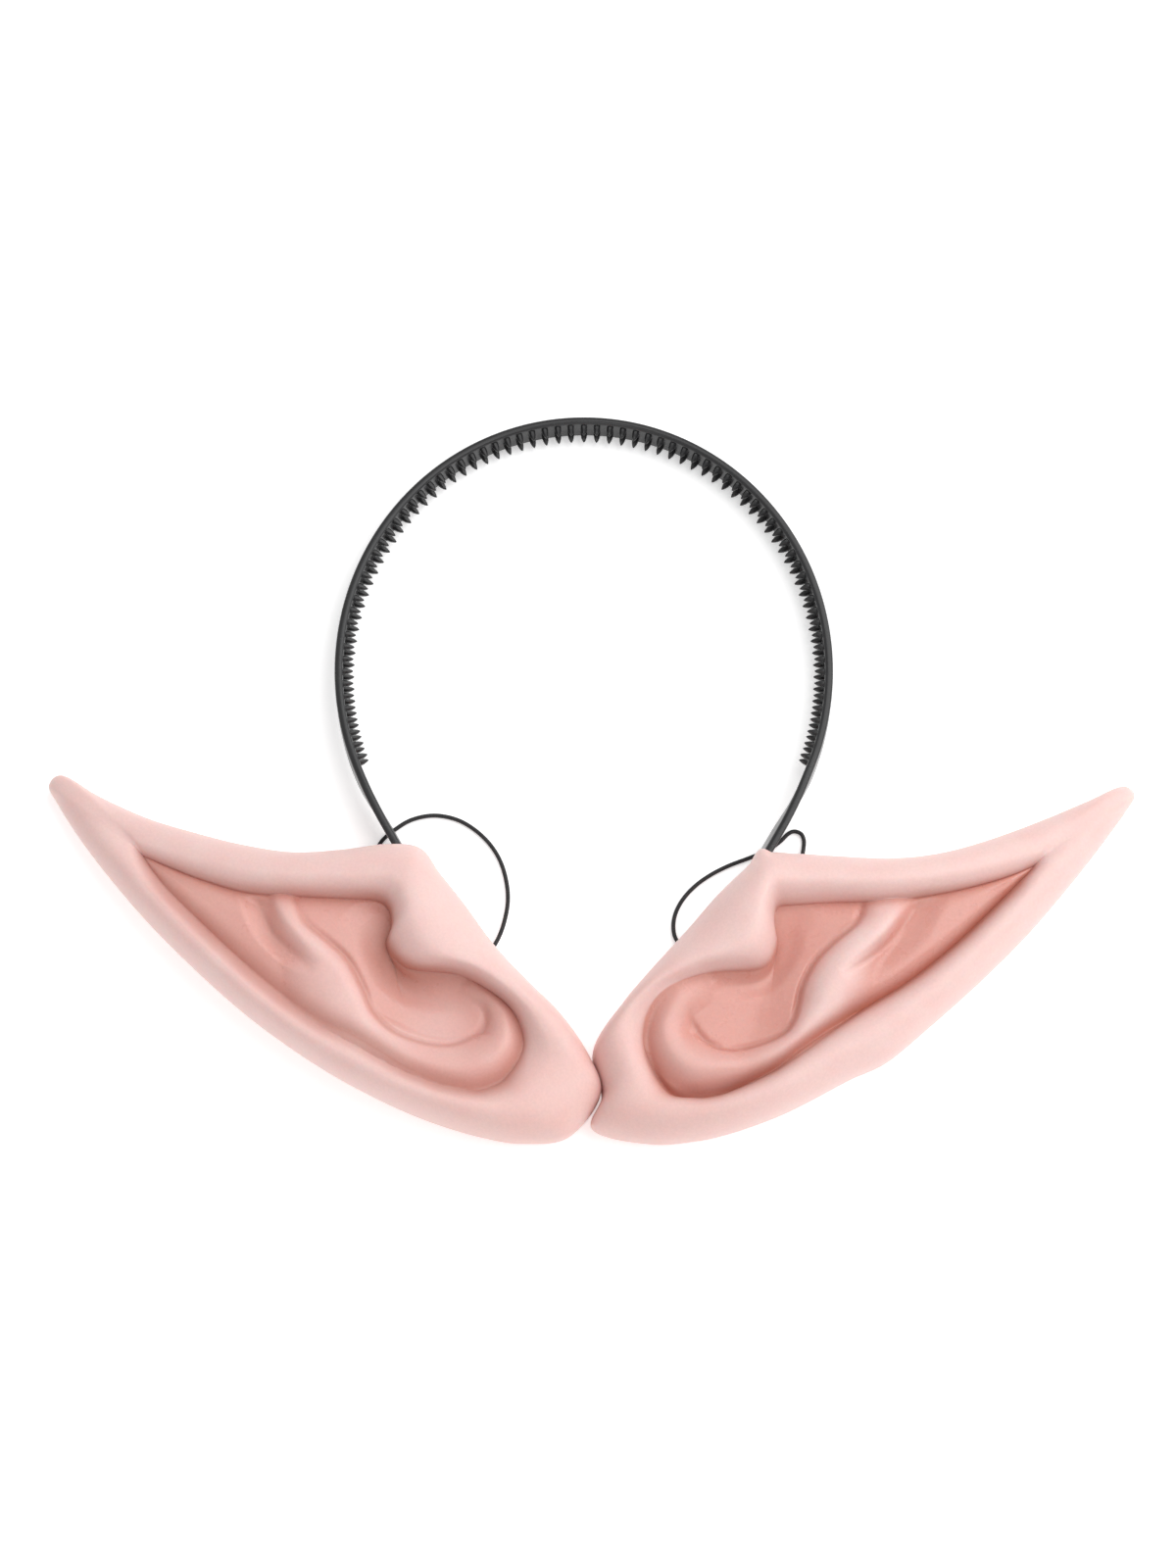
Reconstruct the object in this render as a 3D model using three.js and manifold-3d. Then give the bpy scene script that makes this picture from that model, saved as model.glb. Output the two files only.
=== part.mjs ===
// Pixie ear headband, lying on its back: a toothed plastic hair band whose legs slip into two hollow
// latex ears, with a thin elastic loop knotted into each ear.
// Millimetres. X runs from ear to ear, Y from the lobes to the top of the band, Z up from the floor.
import * as THREE from "three";
import { mergeVertices } from "three/addons/utils/BufferGeometryUtils.js";
import Module from "manifold-3d";

const wasm = await Module();
wasm.setup();

// Clearance between pieces
const GAP = 0.35;

// The hair band: a half oval with a straight leg at each end, its strip standing on edge
const BAND = {
  middleX: -2.0,
  widestY: 28.25,
  halfWidth: 64.4, // to the middle of the strip's thickness
  rise: 71.2, // from the widest line to the top, to the middle of the strip's thickness
  legTurn: 0.55, // how far below the widest line the legs start, in radians
  leg: 28,
  width: 8,
  thickness: 2.2,
  edgeRadius: 0.8,
  lean: 0.02, // the legs lie higher than the top of the hoop, in radians
  legFlare: 0.2, // how far the legs lean outwards, for each millimetre of their height
  flareFrom: 29, // the flare sets in and is full this far below the widest line
  flareTo: 45,
  steps: 66,
};

// Comb teeth inside the hoop: pairs of prongs
const TEETH = { pairs: 75, spread: 4, height: 2.8, radius: 0.9, sides: 4, sink: 0.4, endTurn: 0.39 };

// The latex of the ears: its wall, how far the edge turns in at the back, how much of the wall the
// lip of the inner skin keeps, how fully the floor of the hollow swells up beside the lips, and how
// softly a fold runs out, from 1 for a crisp foot to 2 for a soft one
const LATEX = { wall: 2, tuck: 3, lipShare: 0.8, swell: 3, foldEdge: 1.6 };

// The elastic loops and their knots
const CORD = { diameter: 1.1, sides: 6, steps: 36, knotRadius: 2 };

// A table with named columns
function table(columns, rows) {
  const names = columns.split(" ");
  return rows.map((row) => Object.fromEntries(names.map((name, i) => [name, row[i]])));
}

// Sections across an ear from the tip to the lobe, seen from above. Out is the distance from the
// middle between the ears, up is Y. Each row crosses the ear from its upper edge over the lip of
// the hollow and the middle of the hollow to the lower lip and the lower edge. Side is the height
// of the edges.
const PLAN_COLUMNS =
  "topOut topUp topLipOut topLipUp midOut midUp lowLipOut lowLipUp lowOut lowUp side";
const LEFT_PLAN = table(PLAN_COLUMNS, [
  [141.7, -3.7, 115.4, -25.5, 115.2, -25.6, 115.4, -25.5, 141.7, -3.7, 4.0],
  [138.2, -1.1, 115.2, -25.6, 114.8, -26.1, 115.2, -25.9, 139.6, -8.1, 4.2],
  [128.7, -7.1, 114.0, -26.2, 113.4, -27.2, 114.2, -27.8, 134.2, -16.7, 5.0],
  [115.6, -13.7, 109.5, -28.5, 109.8, -30.4, 111.5, -31.6, 126.0, -27.9, 6.0],
  [102.6, -18.3, 100.5, -32.5, 102.0, -36.3, 106.9, -37.1, 114.5, -41.7, 7.0],
  [89.7, -22.1, 88.8, -36.2, 91.0, -44.5, 93.9, -50.0, 101.4, -55.1, 8.0],
  [76.9, -24.4, 76.4, -37.4, 78.5, -51.1, 81.9, -60.9, 88.4, -66.9, 8.6],
  [64.2, -23.9, 63.8, -38.0, 65.5, -57.1, 69.7, -70.2, 75.7, -76.5, 9.4],
  [52.8, -22.6, 55.0, -38.6, 57.5, -60.6, 61.5, -74.1, 66.0, -82.9, 10.4],
  [44.0, -23.7, 51.9, -41.1, 52.5, -64.1, 54.5, -78.1, 57.0, -87.9, 10.4],
  [38.8, -30.5, 51.3, -45.6, 49.0, -66.9, 48.6, -81.9, 50.5, -91.1, 10.0],
  [32.4, -38.7, 52.2, -50.9, 46.0, -69.1, 44.0, -84.1, 44.0, -93.9, 9.6],
  [24.8, -49.4, 46.5, -56.6, 41.5, -71.1, 39.0, -86.2, 36.0, -96.7, 9.2],
  [15.9, -59.3, 33.5, -58.4, 33.5, -73.0, 33.5, -87.6, 27.0, -99.1, 8.6],
  [7.1, -68.3, 22.9, -64.8, 27.0, -74.8, 28.7, -88.3, 17.0, -100.4, 7.8],
  [0.4, -78.5, 18.3, -71.2, 21.8, -76.8, 22.5, -85.7, 5.5, -98.7, 7.4],
  [-2.3, -88.2, 17.6, -78.1, 19.6, -77.7, 17.6, -78.1, -2.3, -88.2, 7.6],
]);

const RIGHT_PLAN = table(PLAN_COLUMNS, [
  [141.7, -6.2, 113.8, -28.2, 113.6, -28.3, 113.8, -28.2, 141.7, -6.2, 4.0],
  [138.4, -4.2, 113.6, -28.5, 113.2, -28.7, 113.5, -28.7, 139.8, -10.0, 4.2],
  [129.4, -8.6, 112.4, -29.0, 112.0, -29.6, 112.6, -30.0, 133.6, -18.7, 5.0],
  [116.3, -14.7, 108.0, -31.1, 108.5, -31.9, 110.1, -32.5, 125.0, -30.0, 6.0],
  [102.5, -20.4, 99.9, -34.0, 101.6, -36.5, 106.2, -36.7, 113.0, -44.4, 7.0],
  [89.6, -24.5, 88.5, -36.8, 90.2, -44.5, 92.9, -49.7, 99.9, -57.8, 8.0],
  [76.9, -26.1, 75.8, -38.8, 77.6, -50.8, 80.4, -59.8, 86.8, -69.8, 8.6],
  [64.2, -25.8, 62.5, -39.1, 64.5, -56.1, 67.7, -67.6, 75.8, -79.2, 9.4],
  [52.7, -25.3, 52.5, -39.7, 55.5, -60.1, 59.6, -73.1, 66.3, -83.9, 10.4],
  [44.1, -25.4, 47.7, -40.5, 50.0, -63.6, 52.5, -78.3, 57.0, -89.0, 10.4],
  [38.3, -30.3, 46.9, -44.7, 46.8, -66.6, 47.0, -82.4, 49.5, -92.8, 10.0],
  [31.9, -36.6, 47.3, -50.9, 44.0, -69.1, 42.5, -84.9, 43.1, -95.4, 9.6],
  [24.3, -45.5, 43.4, -56.8, 39.5, -71.6, 37.8, -87.2, 34.9, -98.1, 9.2],
  [15.2, -55.8, 30.4, -58.4, 31.5, -73.5, 32.6, -89.3, 26.3, -99.9, 8.6],
  [7.3, -65.5, 19.6, -62.6, 23.5, -75.8, 27.1, -90.1, 14.0, -100.4, 7.4],
  [0.3, -76.5, 14.1, -69.5, 17.8, -77.7, 19.9, -88.7, 0.2, -96.6, 5.0],
  [2.5, -87.9, 13.8, -78.5, 15.8, -78.3, 13.8, -78.5, 2.5, -87.9, 3.0],
]);

// Heights of the same sections: the crest and lip of each roll and the floor of the hollow. At is
// the share of the way from edge to lip where the crest lies. Round is 1 for a roll with a steep
// inner wall and 0 for a soft slope. Solid is how far in from the edge the ear is solid latex.
const RELIEF_COLUMNS = "topCrest topAt topLip topRound floor lowLip lowRound lowCrest lowAt solid";
const LEFT_RELIEF = table(RELIEF_COLUMNS, [
  [13.0, 0.85, 10.4, 0.40, 10.4, 10.4, 0.40, 13.0, 0.85, 14.0],
  [13.2, 0.85, 10.5, 0.45, 10.7, 10.5, 0.40, 13.2, 0.82, 10.0],
  [13.8, 0.80, 11.0, 0.55, 11.5, 11.0, 0.30, 13.8, 0.74, 5.0],
  [15.0, 0.72, 11.8, 0.65, 12.8, 11.8, 0.20, 14.8, 0.60, 3.0],
  [16.8, 0.66, 12.8, 0.70, 14.4, 12.8, 0.10, 16.0, 0.52, 2.2],
  [18.6, 0.64, 13.4, 0.75, 15.6, 13.5, 0.05, 17.0, 0.48, 2.2],
  [19.8, 0.64, 13.8, 0.75, 16.2, 14.0, 0.00, 17.5, 0.46, 2.2],
  [20.4, 0.64, 13.8, 0.75, 15.9, 14.2, 0.00, 17.7, 0.45, 2.2],
  [21.0, 0.64, 13.6, 0.80, 14.6, 14.2, 0.00, 17.8, 0.45, 2.2],
  [21.8, 0.64, 13.2, 0.80, 13.2, 14.0, 0.00, 17.9, 0.45, 2.2],
  [22.6, 0.60, 13.0, 0.75, 12.3, 13.8, 0.05, 17.9, 0.45, 2.2],
  [23.0, 0.60, 13.0, 0.75, 11.8, 13.4, 0.05, 17.9, 0.46, 2.2],
  [22.4, 0.64, 13.0, 0.85, 11.6, 12.9, 0.10, 17.8, 0.48, 2.2],
  [21.0, 0.68, 12.8, 0.90, 11.6, 12.5, 0.25, 17.6, 0.52, 2.2],
  [19.4, 0.70, 12.4, 0.95, 11.8, 12.2, 0.60, 17.2, 0.56, 2.2],
  [17.6, 0.66, 12.0, 0.80, 11.9, 12.0, 0.80, 16.8, 0.62, 2.2],
  [16.2, 0.62, 11.8, 0.75, 11.8, 11.8, 0.75, 16.2, 0.62, 2.2],
]);

const RIGHT_RELIEF = table(RELIEF_COLUMNS, [
  [13.0, 0.85, 10.4, 0.40, 10.4, 10.4, 0.40, 13.0, 0.85, 14.0],
  [13.2, 0.85, 10.5, 0.45, 10.7, 10.5, 0.40, 13.2, 0.82, 10.0],
  [13.8, 0.80, 11.0, 0.55, 11.5, 11.0, 0.40, 13.8, 0.74, 5.0],
  [15.0, 0.72, 11.8, 0.65, 12.8, 11.6, 0.50, 14.8, 0.62, 3.0],
  [16.8, 0.66, 12.8, 0.70, 14.4, 12.4, 0.60, 16.2, 0.54, 2.2],
  [18.6, 0.64, 13.4, 0.75, 15.4, 12.8, 0.60, 17.2, 0.50, 2.2],
  [19.8, 0.64, 13.8, 0.75, 15.8, 13.0, 0.60, 17.8, 0.48, 2.2],
  [20.4, 0.64, 13.8, 0.75, 15.4, 13.0, 0.60, 18.0, 0.48, 2.2],
  [21.0, 0.64, 13.6, 0.75, 14.2, 13.0, 0.60, 18.2, 0.48, 2.2],
  [21.8, 0.62, 13.4, 0.70, 13.0, 13.0, 0.60, 18.2, 0.50, 2.2],
  [22.6, 0.60, 13.2, 0.70, 12.2, 13.0, 0.60, 18.2, 0.50, 2.2],
  [23.0, 0.60, 13.2, 0.75, 11.8, 12.8, 0.60, 18.0, 0.50, 2.2],
  [22.0, 0.62, 13.6, 0.75, 11.6, 12.6, 0.60, 17.8, 0.52, 2.2],
  [20.2, 0.56, 15.2, 0.40, 12.2, 12.4, 0.60, 17.4, 0.56, 2.2],
  [18.4, 0.50, 16.6, 0.10, 12.6, 12.2, 0.70, 17.0, 0.60, 2.2],
  [17.2, 0.52, 14.6, 0.40, 12.2, 12.0, 0.80, 16.6, 0.62, 2.2],
  [16.0, 0.62, 11.8, 0.75, 11.8, 11.8, 0.75, 16.0, 0.62, 2.2],
]);

// Folds inside the hollow: ridges (height over 0) and grooves (under 0), with how far they reach
// towards the bowl and towards the rim
const FOLD_COLUMNS = "out up height bowl rim";
const LEFT_FOLDS = [
  table(FOLD_COLUMNS, [
    [80.2, -36.4, 1.0, 4.8, 4.2],
    [76.5, -46.4, 2.4, 4.8, 6.0],
    [70.0, -52.9, 2.6, 4.8, 12.0],
    [64.8, -58.9, 2.6, 5.2, 16.0],
    [61.0, -65.9, 2.7, 5.4, 14.0],
    [57.5, -71.9, 3.0, 5.6, 10.0],
    [51.5, -76.9, 3.3, 7.0, 7.0],
    [43.0, -80.9, 3.4, 7.5, 6.0],
    [34.3, -82.7, 3.5, 8.5, 6.0],
    [26.5, -80.9, 3.6, 9.0, 6.0],
    [22.3, -75.9, 3.5, 7.4, 5.0],
    [22.6, -69.9, 2.8, 4.6, 4.5],
    [25.4, -65.2, 1.9, 3.2, 3.0],
    [30.5, -61.6, 0.8, 2.6, 2.6],
  ]),
  table(FOLD_COLUMNS, [
    [84.6, -36.5, -1.4, 3.4, 4.5],
    [82.9, -41.8, -2.0, 3.4, 5.0],
    [80.2, -47.1, -2.0, 3.4, 5.0],
    [76.8, -51.8, -1.5, 3.2, 4.2],
    [72.8, -55.0, 0.0, 3.0, 3.0],
  ]),
];

const RIGHT_FOLDS = [
  table(FOLD_COLUMNS, [
    [78.6, -36.8, 1.2, 8.0, 5.6],
    [74.4, -46.2, 3.6, 7.2, 5.0],
    [68.5, -52.0, 4.2, 7.2, 7.0],
    [63.1, -57.8, 4.4, 7.4, 10.0],
    [60.5, -62.5, 4.4, 7.6, 10.0],
    [57.7, -68.8, 4.2, 7.0, 8.0],
    [51.1, -76.5, 3.8, 6.0, 6.5],
    [41.4, -80.9, 3.8, 5.4, 6.0],
    [34.0, -82.7, 4.0, 6.4, 6.0],
    [25.3, -82.7, 4.2, 9.0, 6.0],
    [19.9, -78.2, 4.0, 8.0, 5.0],
    [18.9, -72.1, 3.4, 6.5, 4.5],
    [22.9, -65.9, 2.4, 5.0, 4.5],
    [29.0, -61.8, 0.6, 4.0, 4.0],
  ]),
  table(FOLD_COLUMNS, [
    [85.0, -37.6, -1.6, 3.2, 7.0],
    [80.2, -44.6, -1.9, 3.2, 8.0],
    [75.5, -50.2, -1.8, 3.2, 8.0],
    [69.6, -55.6, -1.2, 3.2, 7.0],
    [63.5, -59.9, 0.0, 3.2, 5.0],
  ]),
];

// How many pieces each interval of the tables is cut into, and each stretch of a section: round the
// back edge, over the outer side of the roll, down its inner side and across the floor. The lines of
// the folds are cut finer.
const SECTION_CUTS = 3;
const OUTER_CUTS = [1, 3, 3, 6];
const INNER_CUTS = [1, 1, 2, 2];
const FOLD_CUTS = 12;

// The routes of the elastic loops, from the upper hole to the lower one
const LEFT_ROUTE = [
  [-58.2, -28.3, 2.6],
  [-57.0, -23.9, 2.2],
  [-55.8, -20.2, 1.4],
  [-54.3, -17.4, 0.8],
  [-51.4, -14.7, 0.6],
  [-47.0, -11.9, 0.6],
  [-41.3, -10.7, 0.6],
  [-35.6, -11.7, 0.6],
  [-30.8, -14.4, 0.6],
  [-26.6, -18.5, 0.6],
  [-23.7, -23.4, 0.6],
  [-22.1, -29.0, 0.6],
  [-21.7, -34.4, 0.6],
  [-22.6, -40.0, 0.7],
  [-24.3, -45.0, 1.2],
  [-26.8, -49.0, 2.0],
  [-30.6, -52.3, 2.6],
];
const RIGHT_ROUTE = [
  [55.8, -29.7, 2.6],
  [55.0, -25.6, 2.2],
  [54.9, -22.4, 1.4],
  [55.3, -19.6, 0.8],
  [55.4, -17.5, 0.6],
  [54.7, -15.8, 0.6],
  [53.0, -15.1, 0.6],
  [51.3, -15.8, 0.6],
  [49.2, -17.9, 0.6],
  [45.8, -20.4, 0.6],
  [41.2, -22.4, 0.6],
  [36.1, -24.4, 0.6],
  [31.3, -26.9, 0.6],
  [27.2, -29.9, 0.6],
  [24.0, -33.4, 0.6],
  [21.9, -37.3, 0.6],
  [21.2, -41.3, 0.7],
  [22.0, -45.1, 1.2],
  [25.2, -48.7, 2.0],
  [29.8, -51.7, 2.6],
];

// Colours and finishes
const MATERIALS = {
  latex: { color: 0xf0cdc4, roughness: 0.55, metalness: 0 },
  plastic: { color: 0x1c1c1d, roughness: 0.35, metalness: 0 },
  elastic: { color: 0x101011, roughness: 0.85, metalness: 0 },
};

function piece(name, geometry, finish) {
  geometry.computeVertexNormals();
  const mesh = new THREE.Mesh(geometry, new THREE.MeshStandardMaterial(MATERIALS[finish]));
  mesh.name = name;
  return mesh;
}

// A closed geometry as a solid that can be joined and cut
function solidOf(geometry) {
  const bare = new THREE.BufferGeometry();
  bare.setAttribute("position", geometry.getAttribute("position"));
  bare.setIndex(geometry.index);
  const merged = mergeVertices(bare, 1e-4);
  const corners = merged.index.array;
  const kept = [];
  for (let i = 0; i < corners.length; i += 3) {
    const [a, b, c] = corners.slice(i, i + 3);
    if (a !== b && b !== c && c !== a) kept.push(a, b, c);
  }
  return new wasm.Manifold(
    new wasm.Mesh({
      numProp: 3,
      vertProperties: merged.getAttribute("position").array,
      triVerts: Uint32Array.from(kept),
    }),
  );
}

function geometryOf(solid) {
  const mesh = solid.getMesh();
  const geometry = new THREE.BufferGeometry();
  geometry.setAttribute("position", new THREE.BufferAttribute(mesh.vertProperties, 3));
  geometry.setIndex(new THREE.BufferAttribute(mesh.triVerts, 1));
  return geometry;
}

// The middle line of the band's strip in the hoop's own plane
class HoopLine extends THREE.Curve {
  getPoint(t, target = new THREE.Vector3()) {
    const sweep = Math.PI + 2 * BAND.legTurn;
    const arc = (sweep * (BAND.halfWidth + BAND.rise)) / 2;
    const along = t * (arc + 2 * BAND.leg) - BAND.leg;
    const angle = THREE.MathUtils.clamp(along / arc, 0, 1) * sweep - BAND.legTurn;
    const pastEnd = Math.min(along, 0) + Math.max(along - arc, 0);
    const heading = new THREE.Vector3(-BAND.halfWidth * Math.sin(angle), BAND.rise * Math.cos(angle), 0);
    target.set(BAND.halfWidth * Math.cos(angle), BAND.rise * Math.sin(angle), 0);
    return target.addScaledVector(heading.normalize(), pastEnd);
  }
}

// The band's strip, made larger all round by a clearance, its legs leaning outwards
function bandStrip(clearance) {
  const x = BAND.width / 2 + clearance;
  const y = BAND.thickness / 2 + clearance;
  const r = BAND.edgeRadius;
  const section = new THREE.Shape();
  section.moveTo(-x + r, -y);
  section.lineTo(x - r, -y);
  section.quadraticCurveTo(x, -y, x, -y + r);
  section.lineTo(x, y - r);
  section.quadraticCurveTo(x, y, x - r, y);
  section.lineTo(-x + r, y);
  section.quadraticCurveTo(-x, y, -x, y - r);
  section.lineTo(-x, -y + r);
  section.quadraticCurveTo(-x, -y, -x + r, -y);
  const strip = new THREE.ExtrudeGeometry(section, {
    steps: BAND.steps,
    curveSegments: 1,
    bevelEnabled: false,
    extrudePath: new HoopLine(),
  });
  const places = strip.getAttribute("position");
  for (let i = 0; i < places.count; i++) {
    const share = THREE.MathUtils.smoothstep(-places.getY(i), BAND.flareFrom, BAND.flareTo);
    const shift = places.getZ(i) * BAND.legFlare * share;
    places.setX(i, places.getX(i) + Math.sign(places.getX(i)) * shift);
  }
  return strip;
}

// One prong, standing on the inner face of the hoop at an angle round it
function prong(angle, z) {
  const outward = new THREE.Vector3(Math.cos(angle) / BAND.halfWidth, Math.sin(angle) / BAND.rise, 0);
  const inward = outward.normalize().negate();
  const length = TEETH.height + TEETH.sink;
  const cone = new THREE.ConeGeometry(TEETH.radius, length, TEETH.sides);
  const foot = new THREE.Vector3(BAND.halfWidth * Math.cos(angle), BAND.rise * Math.sin(angle), z);
  foot.addScaledVector(inward, BAND.thickness / 2 - TEETH.sink + length / 2);
  const turn = new THREE.Quaternion().setFromUnitVectors(new THREE.Vector3(0, 1, 0), inward);
  return cone.applyMatrix4(new THREE.Matrix4().compose(foot, turn, new THREE.Vector3(1, 1, 1)));
}

function headbandGeometry() {
  let solid = solidOf(bandStrip(0));
  const sweep = Math.PI + 2 * TEETH.endTurn;
  for (let i = 0; i < TEETH.pairs; i++) {
    const angle = (sweep * i) / (TEETH.pairs - 1) - TEETH.endTurn;
    for (const side of [-1, 1]) solid = solid.add(solidOf(prong(angle, (side * TEETH.spread) / 2)));
  }
  return geometryOf(solid);
}

// Where the hoop's plane lies: the top of the hoop rests on the floor
const hoopPlace = new THREE.Object3D();
hoopPlace.rotation.x = -BAND.lean;
const hoopReach = BAND.rise + BAND.thickness / 2;
const hoopLift = (BAND.width / 2) * Math.cos(BAND.lean) + hoopReach * Math.sin(BAND.lean);
hoopPlace.position.set(BAND.middleX, BAND.widestY, hoopLift);
hoopPlace.updateMatrix();

// A smooth value between the rows of a table, by row number
function smoothValue(values, t, closed) {
  const count = values.length;
  const i = Math.floor(t);
  const f = t - i;
  const at = (k) => values[closed ? (k + count) % count : THREE.MathUtils.clamp(k, 0, count - 1)];
  const [a, b, c, d] = [at(i - 1), at(i), at(i + 1), at(i + 2)];
  const bend = 2 * a - 5 * b + 4 * c - d + f * (3 * (b - c) + d - a);
  return b + 0.5 * f * (c - a + f * bend);
}

function smoothRow(rows, t, closed) {
  const names = Object.keys(rows[0]);
  return Object.fromEntries(names.map((n) => [n, smoothValue(rows.map((row) => row[n]), t, closed)]));
}

// The sections as one closed run of stations round the ear: along the upper edge from the tip to
// the lobe, then back along the lower edge
function rimOf(plan, relief) {
  const station = (row, half) => {
    const p = plan[row];
    const r = relief[row];
    return {
      edgeOut: p[half + "Out"],
      edgeUp: p[half + "Up"],
      lipOut: p[half + "LipOut"],
      lipUp: p[half + "LipUp"],
      midOut: p.midOut,
      midUp: p.midUp,
      crest: r[half + "Crest"],
      crestAt: r[half + "At"],
      lip: r[half + "Lip"],
      round: r[half + "Round"],
      side: p.side,
      floor: r.floor,
      solid: r.solid,
    };
  };
  const rows = plan.map((_, i) => i);
  const back = rows.slice(1, -1).reverse();
  return [...rows.map((i) => station(i, "top")), ...back.map((i) => station(i, "low"))];
}

// The height that the folds add at a place in the hollow
function foldHeight(folds, out, up) {
  let height = 0;
  for (const fold of folds) {
    let best = { distance: Infinity };
    for (const p of fold.line) {
      const distance = Math.hypot(out - p.out, up - p.up);
      if (distance < best.distance) best = { ...p, distance };
    }
    const inBowl = best.alongOut * (up - best.up) < best.alongUp * (out - best.out);
    const reach = Math.min(best.distance / (inBowl ? best.bowl : best.rim), 1);
    height += best.height * (1 - reach * reach) ** LATEX.foldEdge;
  }
  return height;
}

// A fold's rows as a dense line with headings
function foldLine(rows, cuts = FOLD_CUTS) {
  const line = [];
  for (let i = 0; i <= (rows.length - 1) * cuts; i++) line.push(smoothRow(rows, i / cuts, false));
  line.forEach((p, i) => {
    const [from, to] = [line[Math.max(i - 1, 0)], line[Math.min(i + 1, line.length - 1)]];
    p.alongOut = to.out - from.out;
    p.alongUp = to.up - from.up;
  });
  return { line };
}

// A point of an ear's skin. Station t runs round the rim and q over the section: 0 is the back
// edge, 1 the widest line, 2 the crest of the roll, 3 the lip and 4 the middle of the hollow.
// Inset moves the point inwards through the wall.
function skinPoint(rim, folds, t, q, inset) {
  const s = smoothRow(rim, t, true);
  const width = Math.hypot(s.lipOut - s.edgeOut, s.lipUp - s.edgeUp);
  const inward = [(s.lipOut - s.edgeOut) / width, (s.lipUp - s.edgeUp) / width];
  const edge = inset ? s.solid : 0;
  const lip = width - inset * LATEX.lipShare;
  const crest = THREE.MathUtils.lerp(edge, lip, s.crestAt);
  const at = (distance) => [s.edgeOut + inward[0] * distance, s.edgeUp + inward[1] * distance];
  const f = q - Math.min(Math.floor(q), 3);
  const turn = (f * Math.PI) / 2;
  if (q < 1) return [...at(edge + LATEX.tuck * (1 - Math.sin(turn))), s.side * (1 - Math.cos(turn))];
  if (q < 2) {
    const height = THREE.MathUtils.lerp(s.side, s.crest - inset, Math.sin(turn));
    return [...at(THREE.MathUtils.lerp(edge, crest, 1 - Math.cos(turn))), height];
  }
  if (q < 3) {
    const across = THREE.MathUtils.lerp(f, Math.sin(turn), s.round);
    const fall = THREE.MathUtils.lerp(0.5 + 0.5 * Math.cos(2 * turn), Math.cos(turn), s.round);
    const place = at(THREE.MathUtils.lerp(crest, lip, across));
    const roll = THREE.MathUtils.lerp(s.lip, s.crest, fall);
    return [...place, Math.max(roll, s.lip + foldHeight(folds, ...place)) - inset];
  }
  const [lipOut, lipUp] = at(lip);
  const out = THREE.MathUtils.lerp(lipOut, s.midOut, f);
  const up = THREE.MathUtils.lerp(lipUp, s.midUp, f);
  const base = THREE.MathUtils.lerp(s.lip, s.floor, 1 - (1 - f) ** LATEX.swell);
  return [out, up, base + foldHeight(folds, out, up) - inset];
}

// The q values of a section, with each stretch cut as often as its entry says
function sectionSteps(cuts) {
  const steps = cuts.flatMap((n, stretch) => Array.from({ length: n }, (_, i) => stretch + i / n));
  return [...steps, cuts.length];
}

// A hollow ear: the outer skin, the inner skin and the flat sole that joins them round the back
function earGeometry({ plan, relief, folds: foldTables, mirror }) {
  const rim = rimOf(plan, relief);
  const folds = foldTables.map((rows) => foldLine(rows));
  const stations = rim.length * SECTION_CUTS;
  const points = [];
  const faces = [];
  const addSkin = (cuts, inset) => {
    const start = points.length / 3;
    const steps = sectionSteps(cuts);
    for (const q of steps) {
      for (let i = 0; i < stations; i++) {
        const [out, up, z] = skinPoint(rim, folds, i / SECTION_CUTS, q, inset);
        points.push(mirror * out, up, z);
      }
    }
    return { start, rings: steps.length };
  };
  const rise = (a, b) => Math.abs(points[3 * a + 2] - points[3 * b + 2]);
  const addBand = (ringA, ringB) => {
    for (let i = 0; i < stations; i++) {
      const j = (i + 1) % stations;
      const corners = [ringA + i, ringA + j, ringB + j, ringB + i];
      if (mirror > 0) corners.reverse();
      const [a, b, c, d] = corners;
      // Each quad is split along its more level diagonal, so that folds run smoothly
      if (rise(a, c) < rise(b, d)) faces.push(a, b, c, a, c, d);
      else faces.push(a, b, d, b, c, d);
    }
  };
  const outer = addSkin(OUTER_CUTS, 0);
  const inner = addSkin(INNER_CUTS, LATEX.wall);
  for (let r = 0; r + 1 < outer.rings; r++) {
    addBand(outer.start + (r + 1) * stations, outer.start + r * stations);
  }
  for (let r = 0; r + 1 < inner.rings; r++) {
    addBand(inner.start + r * stations, inner.start + (r + 1) * stations);
  }
  addBand(outer.start, inner.start);
  const geometry = new THREE.BufferGeometry();
  geometry.setAttribute("position", new THREE.Float32BufferAttribute(points, 3));
  geometry.setIndex(faces);
  return geometry;
}

// A round cord along a route
function cordGeometry(route, diameter) {
  const section = new THREE.Shape();
  for (let i = 0; i < CORD.sides; i++) {
    const angle = (2 * Math.PI * i) / CORD.sides;
    const x = (diameter / 2) * Math.cos(angle);
    const y = (diameter / 2) * Math.sin(angle);
    if (i === 0) section.moveTo(x, y);
    else section.lineTo(x, y);
  }
  return new THREE.ExtrudeGeometry(section, {
    steps: CORD.steps,
    bevelEnabled: false,
    extrudePath: new THREE.CatmullRomCurve3(route.map((p) => new THREE.Vector3(...p))),
  });
}

// The knot past one end of a loop, on the line of the cord's last stretch
function knotGeometry(end, before) {
  const tip = new THREE.Vector3(...end);
  const heading = tip.clone().sub(new THREE.Vector3(...before)).setZ(0).normalize();
  const middle = tip.addScaledVector(heading, CORD.knotRadius + GAP);
  return new THREE.IcosahedronGeometry(CORD.knotRadius, 0).translate(middle.x, middle.y, middle.z);
}

const group = new THREE.Group();

const headband = piece("headband", headbandGeometry(), "plastic");
headband.position.copy(hoopPlace.position);
headband.rotation.copy(hoopPlace.rotation);
group.add(headband);

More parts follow.
